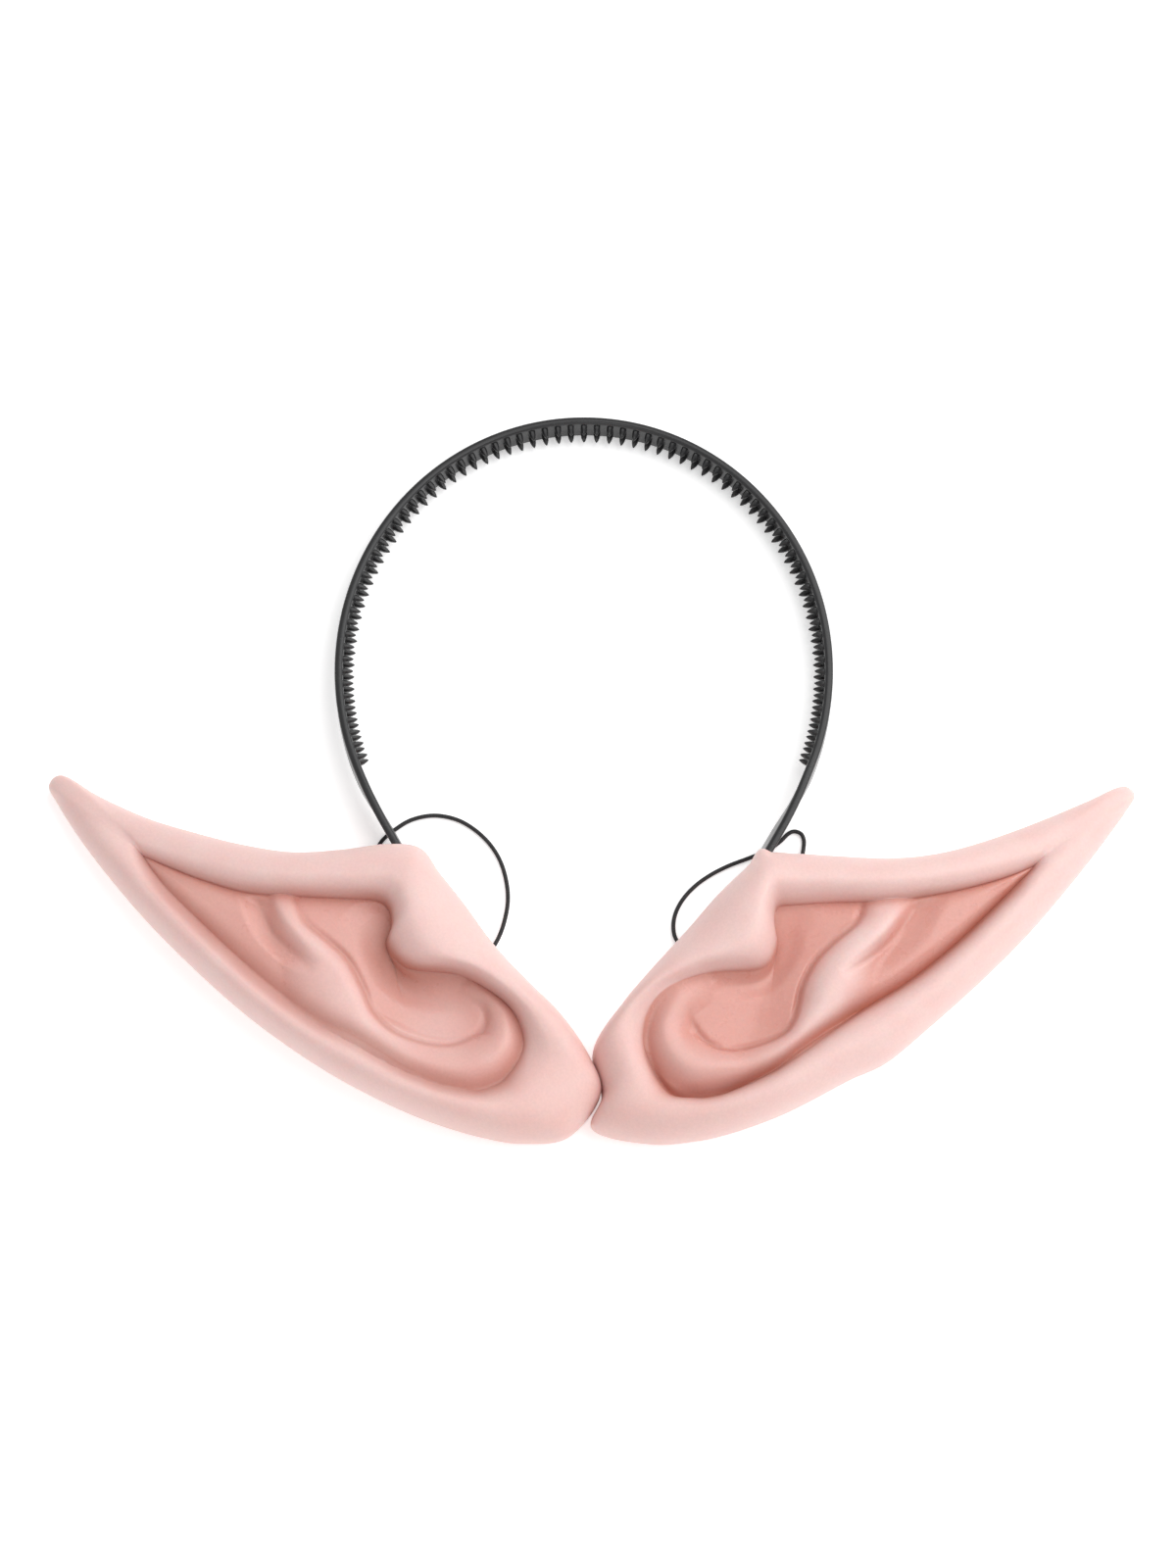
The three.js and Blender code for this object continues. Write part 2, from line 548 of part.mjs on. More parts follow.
const slot = solidOf(bandStrip(GAP).applyMatrix4(hoopPlace.matrix));
const EARS = [
  {
    name: "left", mirror: -1,
    plan: LEFT_PLAN, relief: LEFT_RELIEF, folds: LEFT_FOLDS, route: LEFT_ROUTE,
  },
  {
    name: "right", mirror: 1,
    plan: RIGHT_PLAN, relief: RIGHT_RELIEF, folds: RIGHT_FOLDS, route: RIGHT_ROUTE,
  },
];
for (const ear of EARS) {
  const loopHole = solidOf(cordGeometry(ear.route, CORD.diameter + 2 * GAP));
  const shell = solidOf(earGeometry(ear)).subtract(slot).subtract(loopHole);
  group.add(piece(ear.name + "_ear", geometryOf(shell), "latex"));
  group.add(piece(ear.name + "_elastic_loop", cordGeometry(ear.route, CORD.diameter), "elastic"));
  const ends = { upper: ear.route.slice(0, 2), lower: ear.route.slice(-2).reverse() };
  for (const [end, [tip, before]] of Object.entries(ends)) {
    group.add(piece(ear.name + "_loop_knot_" + end, knotGeometry(tip, before), "elastic"));
  }
}

export default group;
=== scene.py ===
import math

import bmesh
import bpy
import numpy as np
from bpy.props import FloatProperty, FloatVectorProperty, IntProperty, PointerProperty
from mathutils import Matrix, Vector
from mathutils.kdtree import KDTree


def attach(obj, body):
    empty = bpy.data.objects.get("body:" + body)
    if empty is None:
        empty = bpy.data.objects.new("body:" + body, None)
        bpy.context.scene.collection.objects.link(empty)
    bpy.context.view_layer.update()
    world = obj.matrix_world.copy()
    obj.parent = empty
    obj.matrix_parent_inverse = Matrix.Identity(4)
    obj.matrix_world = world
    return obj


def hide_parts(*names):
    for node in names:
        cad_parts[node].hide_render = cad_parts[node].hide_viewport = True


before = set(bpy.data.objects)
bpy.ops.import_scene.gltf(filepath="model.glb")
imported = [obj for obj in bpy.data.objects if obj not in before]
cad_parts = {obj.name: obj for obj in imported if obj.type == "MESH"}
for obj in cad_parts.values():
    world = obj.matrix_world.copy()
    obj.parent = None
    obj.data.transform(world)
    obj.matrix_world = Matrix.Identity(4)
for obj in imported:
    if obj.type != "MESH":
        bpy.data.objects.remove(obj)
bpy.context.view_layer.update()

bl_info = {
    "name": "Pixie ear headband",
    "version": (1, 0, 0),
    "blender": (4, 5, 0),
    "location": "3D View > Sidebar > Pixie ears",
    "description": "Makes a toothed hair band with hollow latex ears and elastic loops, and a stage for it",
    "category": "Add Mesh",
}

MM = 0.001
BODY = "root"
SIDES = {"left": -1, "right": 1}

# Ear tables, in millimetres: out is the distance from the middle between the ears, up is Y.
# Sections across each ear from the tip to the lobe: upper edge, lip of the hollow, middle, lower lip,
# lower edge, and the height of the edges.
PLAN_COLUMNS = (
    "top_out", "top_up", "top_lip_out", "top_lip_up", "mid_out", "mid_up",
    "low_lip_out", "low_lip_up", "low_out", "low_up", "side",
)
PLANS = {
    "left": [
        (141.7, -3.7, 115.4, -25.5, 115.2, -25.6, 115.4, -25.5, 141.7, -3.7, 4.0),
        (138.2, -1.1, 115.2, -25.6, 114.8, -26.1, 115.2, -25.9, 139.6, -8.1, 4.2),
        (128.7, -7.1, 114.0, -26.2, 113.4, -27.2, 114.2, -27.8, 134.2, -16.7, 5.0),
        (115.6, -13.7, 109.5, -28.5, 109.8, -30.4, 111.5, -31.6, 126.0, -27.9, 6.0),
        (102.6, -18.3, 100.5, -32.5, 102.0, -36.3, 106.9, -37.1, 114.5, -41.7, 7.0),
        (89.7, -22.1, 88.8, -36.2, 91.0, -44.5, 93.9, -50.0, 101.4, -55.1, 8.0),
        (76.9, -24.4, 76.4, -37.4, 78.5, -51.1, 81.9, -60.9, 88.4, -66.9, 8.6),
        (64.2, -23.9, 63.8, -38.0, 65.5, -57.1, 69.7, -70.2, 75.7, -76.5, 9.4),
        (52.8, -22.6, 55.0, -38.6, 57.5, -60.6, 61.5, -74.1, 66.0, -82.9, 10.4),
        (44.0, -23.7, 51.9, -41.1, 52.5, -64.1, 54.5, -78.1, 57.0, -87.9, 10.4),
        (38.8, -30.5, 51.3, -45.6, 49.0, -66.9, 48.6, -81.9, 50.5, -91.1, 10.0),
        (32.4, -38.7, 52.2, -50.9, 46.0, -69.1, 44.0, -84.1, 44.0, -93.9, 9.6),
        (24.8, -49.4, 46.5, -56.6, 41.5, -71.1, 39.0, -86.2, 36.0, -96.7, 9.2),
        (15.9, -59.3, 33.5, -58.4, 33.5, -73.0, 33.5, -87.6, 27.0, -99.1, 8.6),
        (7.1, -68.3, 22.9, -64.8, 27.0, -74.8, 28.7, -88.3, 17.0, -100.4, 7.8),
        (0.4, -78.5, 18.3, -71.2, 21.8, -76.8, 22.5, -85.7, 5.5, -98.7, 7.4),
        (-2.3, -88.2, 17.6, -78.1, 19.6, -77.7, 17.6, -78.1, -2.3, -88.2, 7.6),
    ],
    "right": [
        (141.7, -6.2, 113.8, -28.2, 113.6, -28.3, 113.8, -28.2, 141.7, -6.2, 4.0),
        (138.4, -4.2, 113.6, -28.5, 113.2, -28.7, 113.5, -28.7, 139.8, -10.0, 4.2),
        (129.4, -8.6, 112.4, -29.0, 112.0, -29.6, 112.6, -30.0, 133.6, -18.7, 5.0),
        (116.3, -14.7, 108.0, -31.1, 108.5, -31.9, 110.1, -32.5, 125.0, -30.0, 6.0),
        (102.5, -20.4, 99.9, -34.0, 101.6, -36.5, 106.2, -36.7, 113.0, -44.4, 7.0),
        (89.6, -24.5, 88.5, -36.8, 90.2, -44.5, 92.9, -49.7, 99.9, -57.8, 8.0),
        (76.9, -26.1, 75.8, -38.8, 77.6, -50.8, 80.4, -59.8, 86.8, -69.8, 8.6),
        (64.2, -25.8, 62.5, -39.1, 64.5, -56.1, 67.7, -67.6, 75.8, -79.2, 9.4),
        (52.7, -25.3, 52.5, -39.7, 55.5, -60.1, 59.6, -73.1, 66.3, -83.9, 10.4),
        (44.1, -25.4, 47.7, -40.5, 50.0, -63.6, 52.5, -78.3, 57.0, -89.0, 10.4),
        (38.3, -30.3, 46.9, -44.7, 46.8, -66.6, 47.0, -82.4, 49.5, -92.8, 10.0),
        (31.9, -36.6, 47.3, -50.9, 44.0, -69.1, 42.5, -84.9, 43.1, -95.4, 9.6),
        (24.3, -45.5, 43.4, -56.8, 39.5, -71.6, 37.8, -87.2, 34.9, -98.1, 9.2),
        (15.2, -55.8, 30.4, -58.4, 31.5, -73.5, 32.6, -89.3, 26.3, -99.9, 8.6),
        (7.3, -65.5, 19.6, -62.6, 23.5, -75.8, 27.1, -90.1, 14.0, -100.4, 7.4),
        (0.3, -76.5, 14.1, -69.5, 17.8, -77.7, 19.9, -88.7, 0.2, -96.6, 5.0),
        (2.5, -87.9, 13.8, -78.5, 15.8, -78.3, 13.8, -78.5, 2.5, -87.9, 3.0),
    ],
}

# Heights of the same sections. At is the share of the way from edge to lip where the crest lies, round
# is 1 for a roll with a steep inner wall and 0 for a soft slope, solid is how far in the latex is solid.
RELIEF_COLUMNS = (
    "top_crest", "top_at", "top_lip", "top_round", "floor", "low_lip", "low_round", "low_crest", "low_at",
    "solid",
)
RELIEFS = {
    "left": [
        (13.0, 0.85, 10.4, 0.40, 10.4, 10.4, 0.40, 13.0, 0.85, 14.0),
        (13.2, 0.85, 10.5, 0.45, 10.7, 10.5, 0.40, 13.2, 0.82, 10.0),
        (13.8, 0.80, 11.0, 0.55, 11.5, 11.0, 0.30, 13.8, 0.74, 5.0),
        (15.0, 0.72, 11.8, 0.65, 12.8, 11.8, 0.20, 14.8, 0.60, 3.0),
        (16.8, 0.66, 12.8, 0.70, 14.4, 12.8, 0.10, 16.0, 0.52, 2.2),
        (18.6, 0.64, 13.4, 0.75, 15.6, 13.5, 0.05, 17.0, 0.48, 2.2),
        (19.8, 0.64, 13.8, 0.75, 16.2, 14.0, 0.00, 17.5, 0.46, 2.2),
        (20.4, 0.64, 13.8, 0.75, 15.9, 14.2, 0.00, 17.7, 0.45, 2.2),
        (21.0, 0.64, 13.6, 0.80, 14.6, 14.2, 0.00, 17.8, 0.45, 2.2),
        (21.8, 0.64, 13.2, 0.80, 13.2, 14.0, 0.00, 17.9, 0.45, 2.2),
        (22.6, 0.60, 13.0, 0.75, 12.3, 13.8, 0.05, 17.9, 0.45, 2.2),
        (23.0, 0.60, 13.0, 0.75, 11.8, 13.4, 0.05, 17.9, 0.46, 2.2),
        (22.4, 0.64, 13.0, 0.85, 11.6, 12.9, 0.10, 17.8, 0.48, 2.2),
        (21.0, 0.68, 12.8, 0.90, 11.6, 12.5, 0.25, 17.6, 0.52, 2.2),
        (19.4, 0.70, 12.4, 0.95, 11.8, 12.2, 0.60, 17.2, 0.56, 2.2),
        (17.6, 0.66, 12.0, 0.80, 11.9, 12.0, 0.80, 16.8, 0.62, 2.2),
        (16.2, 0.62, 11.8, 0.75, 11.8, 11.8, 0.75, 16.2, 0.62, 2.2),
    ],
    "right": [
        (13.0, 0.85, 10.4, 0.40, 10.4, 10.4, 0.40, 13.0, 0.85, 14.0),
        (13.2, 0.85, 10.5, 0.45, 10.7, 10.5, 0.40, 13.2, 0.82, 10.0),
        (13.8, 0.80, 11.0, 0.55, 11.5, 11.0, 0.40, 13.8, 0.74, 5.0),
        (15.0, 0.72, 11.8, 0.65, 12.8, 11.6, 0.50, 14.8, 0.62, 3.0),
        (16.8, 0.66, 12.8, 0.70, 14.4, 12.4, 0.60, 16.2, 0.54, 2.2),
        (18.6, 0.64, 13.4, 0.75, 15.4, 12.8, 0.60, 17.2, 0.50, 2.2),
        (19.8, 0.64, 13.8, 0.75, 15.8, 13.0, 0.60, 17.8, 0.48, 2.2),
        (20.4, 0.64, 13.8, 0.75, 15.4, 13.0, 0.60, 18.0, 0.48, 2.2),
        (21.0, 0.64, 13.6, 0.75, 14.2, 13.0, 0.60, 18.2, 0.48, 2.2),
        (21.8, 0.62, 13.4, 0.70, 13.0, 13.0, 0.60, 18.2, 0.50, 2.2),
        (22.6, 0.60, 13.2, 0.70, 12.2, 13.0, 0.60, 18.2, 0.50, 2.2),
        (23.0, 0.60, 13.2, 0.75, 11.8, 12.8, 0.60, 18.0, 0.50, 2.2),
        (22.0, 0.62, 13.6, 0.75, 11.6, 12.6, 0.60, 17.8, 0.52, 2.2),
        (20.2, 0.56, 15.2, 0.40, 12.2, 12.4, 0.60, 17.4, 0.56, 2.2),
        (18.4, 0.50, 16.6, 0.10, 12.6, 12.2, 0.70, 17.0, 0.60, 2.2),
        (17.2, 0.52, 14.6, 0.40, 12.2, 12.0, 0.80, 16.6, 0.62, 2.2),
        (16.0, 0.62, 11.8, 0.75, 11.8, 11.8, 0.75, 16.0, 0.62, 2.2),
    ],
}

# Folds in the hollow, and how far each reaches to the bowl and to the rim. The edges say how softly a
# fold runs out on those two sides, from 1 for a crisp foot to 2 for a soft one.
FOLD_COLUMNS = ("out", "up", "height", "bowl", "rim")
FOLD_EDGES = {"ridge": (1.3, 1.7), "groove": (1.6, 2.0), "pocket": (2.0, 2.0)}
FOLDS = {
    "left": {
        "ridge": [
            (80.2, -36.4, 1.0, 4.8, 4.2),
            (76.5, -46.4, 2.4, 4.8, 6.0),
            (70.0, -52.9, 2.6, 4.8, 12.0),
            (64.8, -58.9, 2.6, 5.2, 16.0),
            (61.0, -65.9, 2.7, 5.4, 14.0),
            (57.5, -71.9, 3.0, 5.6, 10.0),
            (51.5, -76.9, 3.3, 7.0, 7.0),
            (43.0, -80.9, 3.4, 7.5, 6.0),
            (34.3, -82.7, 3.5, 8.5, 6.0),
            (26.5, -80.9, 3.6, 9.0, 6.0),
            (22.3, -75.9, 3.5, 7.4, 5.0),
            (22.6, -69.9, 2.8, 4.6, 4.5),
            (25.4, -65.2, 1.9, 3.2, 3.0),
            (30.5, -61.6, 0.8, 2.6, 2.6),
        ],
        "groove": [
            (86.4, -36.5, -1.4, 4.6, 4.5),
            (84.4, -41.8, -2.0, 4.6, 5.0),
            (81.3, -47.3, -2.1, 4.4, 5.0),
            (77.2, -52.0, -2.0, 4.0, 4.6),
            (73.2, -55.6, -1.2, 3.2, 4.0),
            (69.5, -58.4, 0.0, 3.0, 3.0),
        ],
        "pocket": [
            (62.0, -41.0, 0.0, 8.0, 6.0),
            (56.5, -45.5, -1.0, 9.0, 6.0),
            (54.5, -52.0, -1.5, 9.0, 6.0),
            (50.5, -58.5, -1.6, 9.0, 6.0),
            (43.5, -62.2, -1.5, 9.0, 6.0),
            (35.5, -64.0, -0.8, 8.0, 5.0),
            (30.0, -66.0, 0.0, 6.0, 4.0),
        ],
    },
    "right": {
        "ridge": [
            (78.6, -36.8, 1.2, 8.0, 5.6),
            (74.4, -46.2, 3.6, 7.2, 5.0),
            (68.5, -52.0, 4.2, 7.2, 7.0),
            (63.1, -57.8, 4.4, 7.4, 10.0),
            (60.5, -62.5, 4.4, 7.6, 10.0),
            (57.7, -68.8, 4.2, 6.6, 8.0),
            (51.1, -76.5, 3.8, 4.9, 6.5),
            (41.4, -80.9, 3.8, 5.0, 6.0),
            (34.0, -82.7, 4.0, 6.4, 6.0),
            (25.3, -82.7, 4.2, 9.0, 6.0),
            (19.9, -78.2, 4.0, 8.0, 5.0),
            (18.9, -72.1, 3.4, 6.5, 4.5),
            (22.9, -65.9, 2.4, 5.0, 4.5),
            (29.0, -61.8, 0.6, 4.0, 4.0),
        ],
        "groove": [
            (85.0, -37.6, -1.6, 2.2, 7.0),
            (80.2, -44.6, -1.9, 2.2, 8.0),
            (75.5, -50.2, -1.8, 2.2, 8.0),
            (69.6, -55.6, -1.2, 2.2, 7.0),
            (63.5, -59.9, 0.0, 2.2, 5.0),
        ],
        "pocket": [
            (56.0, -41.0, 0.0, 6.0, 5.0),
            (51.0, -45.5, -1.0, 7.0, 5.0),
            (49.8, -51.0, -1.5, 7.5, 5.0),
            (45.5, -57.5, -1.6, 9.0, 5.0),
            (38.0, -60.5, -1.3, 9.0, 5.0),
            (30.0, -61.0, 0.0, 7.0, 5.0),
        ],
    },
}

# Painted shade along the lips, with some settled paint: how much more of it lies along the lower lip than
# the upper one, and how far it spreads
LOWER_LIP_PAINT_AND_SHADE = {"left": (0.15, 2.6), "right": (0.45, 1.8)}

# Where the painted shade under the upper roll is darker, lighter or wider than along the rest of the lip
CORNER_SHADE = {
    "left": {"out": 49.0, "reach": 9.0, "more": 0.27, "wider": 1.0},
    "right": {"out": 60.0, "reach": 13.0, "more": -0.26, "wider": 0.0},
}

# How strongly the hollow of each ear is painted
HOLLOW_PAINT = {"left": 0.84, "right": 1.0}

# Painted light: where the hollow's colour is paler in the middle of the left bowl, as if lit there
PAINTED_LIGHT_SPOT = {"side": "left", "out": 39.0, "up": -73.0, "reach": 13.0, "share": 0.5}

# A faint blush of the hollow's colour on each lobe
LOBE_BLUSH = {"out": 14.0, "up": -90.0, "reach": 34.0, "share": 0.24}

# How deep the gutter beside the lower lip is pressed in, how far it reaches over the roll and over the
# floor, and the stretches of the lip where it fades out, each with the share that goes there
GUTTER = {"left": 0.25, "right": 1.7}
GUTTER_REACH = {"roll": 0.9, "floor": 1.8}
GUTTER_FADES = ((60.0, 90.0, 0.75), (96.0, 111.0, 0.25))

# Paint of the hollow: the stretch of the roll's inner side where it sets in, how much less of it the lower
# side has, how wide that paler border of the floor is, and how strong it is on the inner skin
ROLL_PAINT = (0.8, 1.0)
LOWER_PALER = 0.5
LIP_BORDER = 3.0
INNER_PAINT = 0.3

# How much paler the hollow's colour is on the folds for each millimetre of their height, and how much paler
# still further out, so that the folds nearer the lobe keep more of it as painted shade
FOLD_PALER = 0.09
FOLD_PALER_FURTHER_OUT = {"more": 0.19, "low": 38.0, "high": 58.0}

# Painted shade, with some settled paint: along the lips, in full where the roll stands high above them and
# shades them, how widely it spreads up the roll and how much wider on the lower one, in the creases, and in
# grooves for each millimetre of depth
LIP_PAINT_AND_SHADE = 0.48
LIP_DEPTHS = (0.5, 3.5)
ROLL_SPREAD = 0.6
LOWER_SPREAD = 0.8
PRESSED_SHADE = 0.45
GROOVE_SHADE = 0.05

# A small pointed flap of the right ear's edge, pushed up beside the leg of the band
FLAP = {"side": "right", "out": 43.2, "up": -26.0, "reach": 3.4, "rise": 1.7}

# Thin creases pressed in along the edge of each bowl and along the groove
CREASE_COLUMNS = ("out", "up", "depth", "reach")
CREASES = {
    "left": {
        "bowl": [
            (75.8, -38.7, 0.5, 1.4),
            (72.9, -45.0, 0.8, 1.4),
            (67.8, -49.5, 0.9, 1.4),
            (63.2, -53.4, 0.9, 1.4),
            (60.2, -57.9, 0.9, 1.4),
            (57.6, -63.3, 0.9, 1.4),
            (55.2, -68.5, 0.9, 1.4),
            (50.2, -73.4, 0.9, 1.4),
            (42.7, -76.0, 0.8, 1.4),
            (36.3, -76.5, 0.7, 1.4),
            (30.9, -74.5, 0.5, 1.5),
            (27.9, -71.9, 0.4, 1.7),
            (26.8, -68.8, 0.4, 1.7),
            (27.8, -65.8, 0.2, 1.6),
            (30.0, -63.8, 0.0, 1.4),
        ],
        "groove": [
            (86.0, -37.4, 0.1, 1.3),
            (84.2, -42.0, 0.4, 1.3),
            (81.0, -47.4, 0.5, 1.3),
            (77.0, -52.0, 0.4, 1.5),
            (73.2, -55.6, 0.2, 1.7),
            (70.5, -57.8, 0.0, 1.7),
        ],
    },
    "right": {
        "bowl": [
            (69.5, -40.0, 0.5, 1.4),
            (67.4, -45.3, 0.9, 1.4),
            (61.0, -50.8, 1.0, 1.4),
            (56.7, -55.3, 1.0, 1.4),
            (53.3, -61.8, 1.0, 1.4),
            (51.2, -70.3, 1.0, 1.4),
            (46.9, -74.7, 1.0, 1.4),
            (35.7, -77.8, 0.9, 1.4),
            (29.3, -75.8, 0.8, 1.4),
            (25.4, -70.3, 0.6, 1.4),
            (25.2, -66.5, 0.0, 1.4),
        ],
        "groove": [
            (83.6, -39.6, 0.1, 1.0),
            (80.0, -44.8, 0.3, 1.0),
            (75.3, -50.4, 0.5, 1.0),
            (69.4, -55.8, 0.5, 1.0),
            (63.5, -60.0, 0.0, 1.0),
        ],
    },
}

# How finely the ears are cut: stations for each row of the tables, and steps round the back edge, over
# the outer side of the roll, down its inner side and across the floor of the hollow
STATION_CUTS = 18
OUTER_CUTS = (5, 16, 18, 40)
INNER_CUTS = (3, 8, 8, 14)
FOLD_CUTS = 24

# How many rows of the tables the lips take to run together at the tip
TIP_ROWS = 2

# Points of an ear that lie this close are made one, and edges this short are taken out, in metres
MERGE_GAP = 2e-7
SLIVER_GAP = 1e-7

# How finely the hoop and the rounded edges of its strip are cut
HOOP_CUTS = 240
EDGE_CUTS = 6

# How finely the elastic is cut: along each stretch of a route, along a knot and its stem, and all round.
# The cutters of the holes are coarser.
ROUTE_CUTS = 8
LOOP_SIDES = 12
KNOT_CUTS = 72
STEM_CUTS = 5
KNOT_SIDES = 8
HOLE_ROUTE_CUTS = 3
HOLE_SIDES = 10

# Over how many cuts the heading of a loop's end is taken, and how thick the stem of a knot is beside it
HEADING_CUTS = 4
STEM_SHARE = 0.98

# Where faces meet at more than this angle, in degrees, the edge between them is crisp
SHARP = {"elastic": 50, "tooth": 60, "band": 40, "ear": 50}

# Where most values of a noise texture lie, and how rough the textures here are
NOISE_RANGE = (0.3, 0.7)
NOISE_ROUGHNESS = 0.55

# Half the width of the floor, and the size and place of each lamp, which points at the floor's middle
FLOOR_HALF = 3.0
LAMPS = {
    "key": (1.5, (0.7, 0.3, 0.95)),
    "front": (0.9, (-0.1, -1.0, 0.6)),
    "fill": (0.25, (-0.12, -0.42, 1.15)),
}

# Routes of the elastic loops from the upper hole to the lower one, in millimetres
ROUTES = {
    "left": [
        (-58.2, -28.3, 2.6), (-57.0, -23.9, 2.2), (-55.8, -20.2, 1.4), (-54.3, -17.4, 0.8),
        (-51.4, -14.7, 0.6), (-47.0, -11.9, 0.6), (-41.3, -10.7, 0.6), (-35.6, -11.7, 0.6),
        (-30.8, -14.4, 0.6), (-26.6, -18.5, 0.6), (-23.7, -23.4, 0.6), (-22.1, -29.0, 0.6),
        (-21.7, -34.4, 0.6), (-22.6, -40.0, 0.7), (-24.3, -45.0, 1.2), (-26.8, -49.0, 2.0),
        (-30.6, -52.3, 2.6),
    ],
    "right": [
        (55.8, -29.7, 2.6), (55.0, -25.6, 2.2), (54.9, -22.4, 1.4), (55.3, -19.6, 0.8),
        (55.4, -17.5, 0.6), (54.7, -15.8, 0.6), (53.0, -15.1, 0.6), (51.3, -15.8, 0.6), (49.2, -17.9, 0.6),
        (45.8, -20.4, 0.6), (41.2, -22.4, 0.6), (36.1, -24.4, 0.6), (31.3, -26.9, 0.6),
        (27.2, -29.9, 0.6), (24.0, -33.4, 0.6), (21.9, -37.3, 0.6), (21.2, -41.3, 0.7),
        (22.0, -45.1, 1.2), (25.2, -48.7, 2.0), (29.8, -51.7, 2.6),
    ],
}


class StageSettings(bpy.types.PropertyGroup):
    """Camera, floor and light"""

    aim: FloatVectorProperty(
        name="Aim", description="The place the camera looks at", subtype="TRANSLATION",
        default=(-0.0009, -0.0017, 0.0))
    distance: FloatProperty(
        name="Distance", description="From the camera to its aim", default=1.1, unit="LENGTH")
    elevation: FloatProperty(
        name="Elevation", description="How far the camera stands above the floor's level",
        default=math.radians(70), subtype="ANGLE")
    view_height: FloatProperty(
        name="View height", description="Height of the picture at the aim", default=0.4112, unit="LENGTH")
    floor_colour: FloatVectorProperty(
        name="Floor colour", description="Colour of the floor", subtype="COLOR", size=4,
        default=(0.97, 0.97, 0.97, 1.0))
    floor_glow: FloatProperty(
        name="Floor glow", description="How much the light table under the object glows", default=0.35)
    key_power: FloatProperty(
        name="Key light", description="Power of the light above the right ear", default=13.8, unit="POWER")
    front_power: FloatProperty(
        name="Front light", description="Power of the light below the picture", default=1.1, unit="POWER")
    fill_power: FloatProperty(
        name="Fill light", description="Power of the small light beside the camera", default=0.7,
        unit="POWER")
    sky: FloatProperty(name="Sky", description="Strength of the even light all round", default=0.53)


class LoopSettings(bpy.types.PropertyGroup):
    """Elastic loops and their knots"""

    diameter: FloatProperty(
        name="Diameter", description="Thickness of the elastic", default=1.1 * MM, unit="LENGTH")
    knot_radius: FloatProperty(
        name="Knot radius", description="Size of the knots inside the ears", default=2 * MM, unit="LENGTH")
    knot_gap: FloatProperty(
        name="Knot gap", description="From the end of a loop to its knot", default=0.35 * MM, unit="LENGTH")
    colour: FloatVectorProperty(
        name="Elastic colour", description="Colour of the elastic's cover", subtype="COLOR", size=4,
        default=(0.011, 0.011, 0.012, 1.0))


class BandSettings(bpy.types.PropertyGroup):
    """The toothed hair band"""

    middle_x: FloatProperty(
        name="Middle X", description="Middle of the hoop", default=-2.0 * MM, unit="LENGTH")
    widest_y: FloatProperty(
        name="Widest Y", description="The hoop's widest line", default=28.25 * MM, unit="LENGTH")
    half_width: FloatProperty(
        name="Half width", description="Of the hoop, to the middle of the strip", default=64.4 * MM,
        unit="LENGTH")
    rise: FloatProperty(
        name="Rise", description="From the widest line to the top", default=71.2 * MM, unit="LENGTH")
    leg_turn: FloatProperty(
        name="Leg turn", description="How far below the widest line the legs start", default=0.55,
        subtype="ANGLE")
    leg: FloatProperty(
        name="Leg", description="Length of each straight leg", default=28 * MM, unit="LENGTH")
    width: FloatProperty(name="Strip width", description="Of the strip", default=8 * MM, unit="LENGTH")
    thickness: FloatProperty(
        name="Strip thickness", description="Of the strip", default=2.2 * MM, unit="LENGTH")
    edge_radius: FloatProperty(
        name="Edge radius", description="Rounding of the strip's edges", default=0.85 * MM, unit="LENGTH")
    lean: FloatProperty(
        name="Lean", description="The legs lie higher than the top of the hoop", default=0.02,
        subtype="ANGLE")
    left_flare: FloatProperty(
        name="Left flare", description="How far the left leg leans outwards for its height", default=0.2)
    right_flare: FloatProperty(
        name="Right flare", description="How far the right leg leans outwards for its height", default=0.32)
    flare_from: FloatProperty(
        name="Flare from", description="Below the widest line, where the flare sets in", default=29 * MM,
        unit="LENGTH")
    flare_to: FloatProperty(
        name="Flare to", description="Below the widest line, where the flare is full", default=45 * MM,
        unit="LENGTH")
    tooth_count: IntProperty(
        name="Teeth", description="Pairs of prongs inside the hoop", default=75, min=2)
    tooth_turn: FloatProperty(
        name="Teeth turn", description="How far below the widest line the teeth end", default=0.39,
        subtype="ANGLE")
    tooth_spread: FloatProperty(
        name="Prong spread", description="Between the two prongs of a tooth", default=4 * MM, unit="LENGTH")
    tooth_radius: FloatProperty(
        name="Prong radius", description="Of a prong at its foot", default=0.9 * MM, unit="LENGTH")
    tooth_height: FloatProperty(
        name="Prong height", description="Of the longer prong", default=2.8 * MM, unit="LENGTH")
    slot_gap: FloatProperty(
        name="Slot gap", description="Room round the leg where it enters an ear", default=0.3 * MM,
        unit="LENGTH")
    colour: FloatVectorProperty(
        name="Plastic colour", description="Colour of the moulding", subtype="COLOR", size=4,
        default=(0.021, 0.021, 0.022, 1.0))


